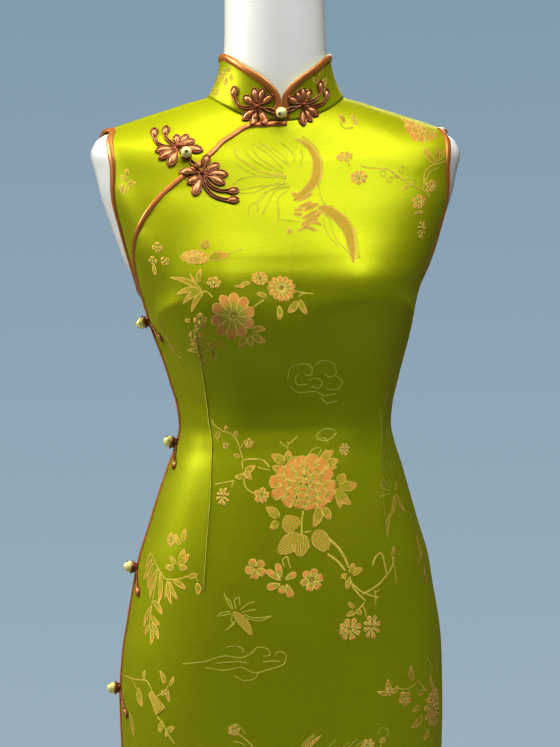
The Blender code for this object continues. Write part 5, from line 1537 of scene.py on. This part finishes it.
# In mm: the middle across and up, then direction, length and width of each petal, the last one being the
# pair of cords to the bead, and then the tendrils as points across and up from the middle.
FLOWERS = {
    "collar_flower_right": (-25.5, 1336.2, """
        34 20.2 8   70 19.7 7.2   100 20 7.6   141 19 8   219 20.5 8.6   255 20 8   296 20.7 8.8
        343 21.5 5""", (
        "-3 0.2   -11 -0.6   -19 1.8   -23.5 8.5   -24.8 15   -24.6 22.5",)),
    "collar_flower_left": (22.9, 1337.9, """
        -93 21.5 8   -63 19 8   -29 20 8.6   60 19 8   89 17.8 7.6   119 15.5 7.6   158 17.8 8.4
        200 20.5 5""", (
        "3 0.4   12.5 -0.2   21.5 2.6   27.2 8   29 13   30.2 19",
        "3 2.4   11 4.6   17 8.8   20 14   21.2 19.5   22.2 26.2",)),
    "chest_flower_upper": (-111, 1292, """
        -9 25 9.6   29 18.6 8   60 18.8 8   98 16.8 7.8   190 23.8 8.6   215 24 8.6   248 24.4 9.6
        305 9 5.2""", (
        "-3 2   -8 6.5   -11.8 11.5   -13.2 17   -12.8 22.5   -12 29",
        "-3.5 0   -12.5 1   -20 5   -23.6 13   -24 20   -24.2 27.5",)),
    "chest_flower_lower": (-87.7, 1262.4, """
        73 21.1 8.6   31 20.6 8   -2 26.2 9.2   -27 25.7 9.2   253 26.1 9.6   219 18.4 8.6   172 22.8 8.6
        126 20 5""", (
        "2 -3   6.2 -11   12 -16.5   20 -19   29 -18.8   35.8 -17.8",
        "0.4 -3.2   2.6 -13   7.8 -21.5   15 -26.5   25 -29   35.8 -28.6",)),
}
# Pulled tight and stuffed, petals and tendrils come out a little longer and plumper than they are drawn.
LONGER, PLUMPER = 1.07, 1.12

for name, (x, z, petals, tendrils) in FLOWERS.items():
    patch = front_patch(x * MM, z * MM)
    loops, cores = zip(*(petal_sweeps(patch, direction, length * MM * LONGER, width * MM * PLUMPER)
                         for direction, length, width in numbers(petals, 3)))
    make_cords(name, [*loops, knot_sweep(patch)], cores[:-1])
    make_cords(name.replace("flower", "tendril"),
               *zip(*(tendril_sweeps(patch, numbers(points, 2) * MM * LONGER) for points in tendrils)))
print(len(FLOWERS), "flowers of cord")

# %% [markdown]
# ## Beads
# The beads are pale jade, a little flattened, with a drilled hole whose dark mark faces outwards. Jade lets
# some light in, so it gets a little subsurface colour, and its veins come from a stretched noise.

# %% Bead material
jade, tree, shader = new_material("pale_jade", {
    "Roughness": 0.25, "Subsurface Weight": 0.6, "Subsurface Radius": (0.006, 0.006, 0.003),
    "Subsurface Scale": 0.6, "Coat Weight": 0.4, "Coat Roughness": 0.12})
place = add_node(tree, "TexCoord").outputs["Object"]
stretched = add_node(tree, "Mapping", {"Scale": (1.0, 1.0, 0.35)}, {"Vector": place})
cloudy = add_node(tree, "TexNoise", {"Scale": 260.0, "Detail": 4.0}, {"Vector": stretched})
vein = add_node(tree, "MapRange", {"From Min": 0.56, "From Max": 0.70}, {"Value": cloudy})
stone = add_node(tree, "Mix", {6: linear("#FFF9BC"), 7: linear("#F3E794")}, {0: vein}, data_type="RGBA")
# The second number of the bead's UV map is the distance from the middle of its hole, in mm.
hole = add_node(tree, "SeparateXYZ", links={0: add_node(tree, "UVMap", uv_map="along")})
mark = add_node(tree, "MapRange", {"From Min": 1.5, "From Max": 2.1, "To Min": 1.0, "To Max": 0.0},
                {"Value": hole.outputs[1]})
painted = add_node(tree, "Mix", {7: linear("#4A5A22")}, {0: mark, 6: stone.outputs[2]}, data_type="RGBA")
connect(shader, {"Base Color": painted.outputs[2]})
print("made", jade.name)

# %% Beads in their loops
BEAD_RADIUS, BEAD_SIDES, HOLE_FLOOR = 0.0060, 24, 0.78
LOOP_RADIUS, RING_CORD, FOOT_LIFT, RING_LIFT = 0.0046, 0.0012, 0.0006, 0.0013
RINGS_OF_CORD = ((LOOP_RADIUS, 0.0), (0.0062, 0.0024), (0.0042, -0.0021))  # radius, and height over the first


def bead_sweep(centre, axis):
    """A round bead with a shallow drilled hole at both ends of its axis: rings swept along that axis."""
    angles = np.linspace(0, math.pi, 19)[1:-1]
    axis = Vector(axis).normalized()
    start = np.array(centre)
    path = [start + np.array(axis) * (-BEAD_RADIUS * math.cos(a)) for a in angles]
    radii = [BEAD_RADIUS * math.sin(a) for a in angles]
    sunk = np.array(axis) * BEAD_RADIUS * HOLE_FLOOR
    path = [start - sunk, *path, start + sunk]
    radii = [0.0004, *radii, 0.0004]
    side = axis.orthogonal().normalized()
    circle = [(math.sin(a), math.cos(a)) for a in np.linspace(0, 2 * math.pi, BEAD_SIDES, endpoint=False)]
    points, faces, uvs = sweep(np.array(path), np.array(side), np.array(circle),
                               scales=np.column_stack((radii, radii)))
    from_hole = np.array([min(r, BEAD_RADIUS) / MM for r in radii]).repeat(BEAD_SIDES)
    return points, faces, np.column_stack((uvs[:, 0], np.maximum(from_hole, 0.5)))


def add_bead(name, patch, tilt, rings=1):
    """A bead standing out from its foot, in one ring of cord or a stack of three."""
    middle = patch.middle + patch.out * FOOT_LIFT + patch.out * RING_LIFT
    rise = math.sqrt((BEAD_RADIUS + RING_LIFT + SEAM_GAP) ** 2 - LOOP_RADIUS**2)
    angles = np.linspace(0, 2 * math.pi, 28, endpoint=False)
    cords = []
    for radius, lift in RINGS_OF_CORD[:rings]:
        ring = [middle + patch.out * lift + (patch.across * math.cos(a) + patch.up * math.sin(a)) * radius
                for a in angles]
        cords.append(sweep(np.array(ring), patch.out, ROUND * RING_CORD, closed=True))
    make_swept(name + "_ring", cords, cord_satin, name + "_loop")
    axis = patch.out + patch.across * tilt[0] + patch.up * tilt[1]
    make_swept(name + "_stone", [bead_sweep(middle + patch.out * rise, axis)], jade, name, slot="jade_bead")


add_bead("collar_bead", front_patch(-0.0010, 1.3290), (-0.5, -0.3))
add_bead("chest_bead", front_patch(-0.1030, 1.2820), (0.0, -0.45))
print("two beads in front")

# %% [markdown]
# ## Frogs of the side opening
# Down the side the frogs are plain: a bead in a ring on the binding, and straps of two cords side by side
# that run from it to the front and to the back, and end in a turned-under loop.

# %% Side frogs
SIDE_FROG_LEVELS = (1.112, 0.976, 0.841, 0.711)
FROG_INSET, STRAP_START, STRAP_LENGTH, STRAP_DROP = 0.0025, 0.0055, 0.036, 0.025

for number, level in enumerate(SIDE_FROG_LEVELS, start=1):
    height = np.array([level])
    turn = opening_edge(height)
    turn = turn + turn_step(turn, height, FROG_INSET)
    middle, out = front_skin(turn, height)[0], normal_of(skin, turn, height)[0]
    patch = Patch(middle, out)
    patch.middle = patch.middle + patch.out * patch.height(0.0, 0.0)
    add_bead(f"side_bead_{number}", patch, (0.2, 1.6), rings=3)
    for word, side in (("front", 1), ("back", -1)):
        along = np.linspace(STRAP_START, STRAP_LENGTH, 7)
        line = np.column_stack((side * along, -STRAP_DROP * (along / STRAP_LENGTH) ** 1.3))
        cord, core = tendril_sweeps(patch, line)
        make_cords(f"side_strap_{word}_{number}", [cord], [core])
print(len(SIDE_FROG_LEVELS), "side frogs")

# %% [markdown]
# ## The dress form
# The form is a glass-fibre shell with a smooth white finish. It is the figure again, a little inside the
# cloth, closed by a low dome on the neck and a flat underside. The finish is slightly uneven, as sprayed
# lacquer is, and has a soft gloss.

# %% Form
lacquer, tree, shader = new_material("white_lacquer", {
    "Roughness": 0.33, "Coat Weight": 0.25, "Coat Roughness": 0.2})
place = add_node(tree, "TexCoord").outputs["Object"]
cloudy = add_node(tree, "TexNoise", {"Scale": 14.0, "Detail": 3.0}, {"Vector": place})
white = add_node(tree, "Mix", {6: linear("#F5FAFD"), 7: linear("#FBFDFF")}, {0: cloudy}, data_type="RGBA")
# Orange peel of sprayed lacquer, about 4 mm from dimple to dimple.
peel = add_node(tree, "TexNoise", {"Scale": 250.0, "Detail": 1.0}, {"Vector": place})
bump = add_node(tree, "Bump", {"Strength": 0.06, "Distance": 0.0002}, {"Height": peel})
connect(shader, {"Base Color": white.outputs[2], "Normal": bump})

FORM_INSET, CAP_OUT, CAP_START, CAP_FADE = 0.0035, 0.0065, 0.004, 0.030
UNDERSIDE, DOME = -0.008, 0.003
levels = Panel.rows_between(FORM_BOTTOM, NECK_TOP, 0.006)
turns = np.arange(0, 360, 3.0)
# Inside the armholes, where no cloth lies on it, the form's shoulder caps stand out a little further.
rows = skin(turns, levels[:, None])
up = np.broadcast_to(levels[:, None], rows.shape[:2])
y = rows[..., 1]
depth = np.minimum.reduce((y - armhole.read("front_y", up), armhole.read("back_y", up) - y,
                           up - UNDERARM, SHOULDER_TIP - up))
cap = smooth_step((depth - CAP_START) / CAP_FADE)
rows = rows + normal_of(skin, turns, levels[:, None]) * (CAP_OUT * cap - FORM_INSET)[..., None]
caps = []
for row, rise in ((rows[0], UNDERSIDE), (rows[-1], DOME)):
    middle = row.mean(axis=0)
    caps.append(np.stack([middle + (row - middle) * part + (0, 0, rise * min(1, (1 - part) / 0.1))
                          for part in (0.98, 0.95, 0.90, 0.45)]))
rows = np.concatenate([caps[0][::-1], rows, caps[1]])
count = len(turns)
faces = grid_faces(len(rows), count, closed=True)
faces += [list(range(count))[::-1], [(len(rows) - 1) * count + i for i in range(count)]]
form = install(make_piece("form_shell", rows.reshape(-1, 3), faces, lacquer), "form_white", "dress_form")
print("form", len(faces), "faces")

# %% [markdown]
# ## The stand
# A steel pole with a flange holds the form, and a heavy round foot keeps it upright. Both are turned parts:
# cylinders whose edges are bevelled, and a step for the socket.

# %% Brushed steel
steel, tree, shader = new_material("brushed_steel", {"Metallic": 1.0, "Anisotropic": 0.4})
place = add_node(tree, "TexCoord").outputs["Object"]
# Brush marks run round the pole and the foot, 0.5 mm apart along their height.
brushed = add_node(tree, "Mapping", {"Scale": (0.05, 0.05, 1.0)}, {"Vector": place})
marks = add_node(tree, "TexNoise", {"Scale": 2000.0, "Detail": 2.0}, {"Vector": brushed})
shade = add_node(tree, "Mix", {6: linear("#A9ABAE"), 7: linear("#C6C8CB")}, {0: marks}, data_type="RGBA")
rough = add_node(tree, "MapRange", {"To Min": 0.24, "To Max": 0.38}, {"Value": marks})
connect(shader, {"Base Color": shade.outputs[2], "Roughness": rough})


def turned_part(name, radius, low, high, vertices, top_radius=None):
    """A cylinder or cone between two heights, with bevelled edges."""
    bpy.ops.object.select_all(action="DESELECT")
    bpy.ops.mesh.primitive_cone_add(vertices=vertices, radius1=radius, radius2=top_radius or radius,
                                    depth=high - low, location=(0, 0, (low + high) / 2))
    made = bpy.context.object
    made.name = made.data.name = name
    bevel = made.modifiers.new("edge", "BEVEL")
    bevel.width, bevel.segments, bevel.limit_method = min(0.0025, (high - low) / 3), 3, "ANGLE"
    bpy.ops.object.modifier_apply(modifier="edge")
    bpy.ops.object.transform_apply(location=True, rotation=True, scale=True)
    bpy.ops.object.shade_smooth_by_angle(angle=math.radians(35))
    return made


def joined(name, parts, material):
    """Turned parts as one piece of one material."""
    bpy.ops.object.select_all(action="DESELECT")
    for part in parts:
        part.select_set(True)
    bpy.context.view_layer.objects.active = parts[0]
    if len(parts) > 1:
        bpy.ops.object.join()
    parts[0].name = parts[0].data.name = name
    parts[0].data.materials.clear()
    parts[0].data.materials.append(material)
    return parts[0]


under_form = FORM_BOTTOM + UNDERSIDE - SEAM_GAP
pole = joined("steel_pole", [
    turned_part("flange", 0.0600, under_form - 0.006, under_form, 64),
    turned_part("upper_socket", 0.0125, under_form - 0.036, under_form - 0.0062, 40, 0.0200),
    turned_part("tube", 0.0125, 0.030, under_form - 0.034, 40),
    turned_part("lower_socket", 0.0225, 0.0103, 0.0403, 40, 0.0140),
], steel)
install(pole, "brushed_steel", "stand_pole")
foot = joined("steel_foot", [turned_part("plate", 0.205, 0.0, 0.010, 128)], steel)
install(foot, "brushed_steel", "stand_foot")
print("pole and foot stand on the floor at", round(min(v.co.z for v in foot.data.vertices), 4))

# %% [markdown]
# ## The cut sizes of the cloth
# For each piece of cloth, the size that it is cut to is printed beside the area of the made one.

# %% Cut sizes
for name, flat, area in (
        ("front_cloth", (0.500, 1.140), area_of(front_panel.outer)),
        ("back_cloth", (0.500, 1.160), area_of(back_panel.outer)),
        ("small_front_cloth", (0.150, 0.290), area_of(small_panel.outer)),
        ("collar_cloth", (0.420, 0.062), area_of(collar_points))):
    print(name, "cut from", flat, "m, area", round(area, 4), "m2")
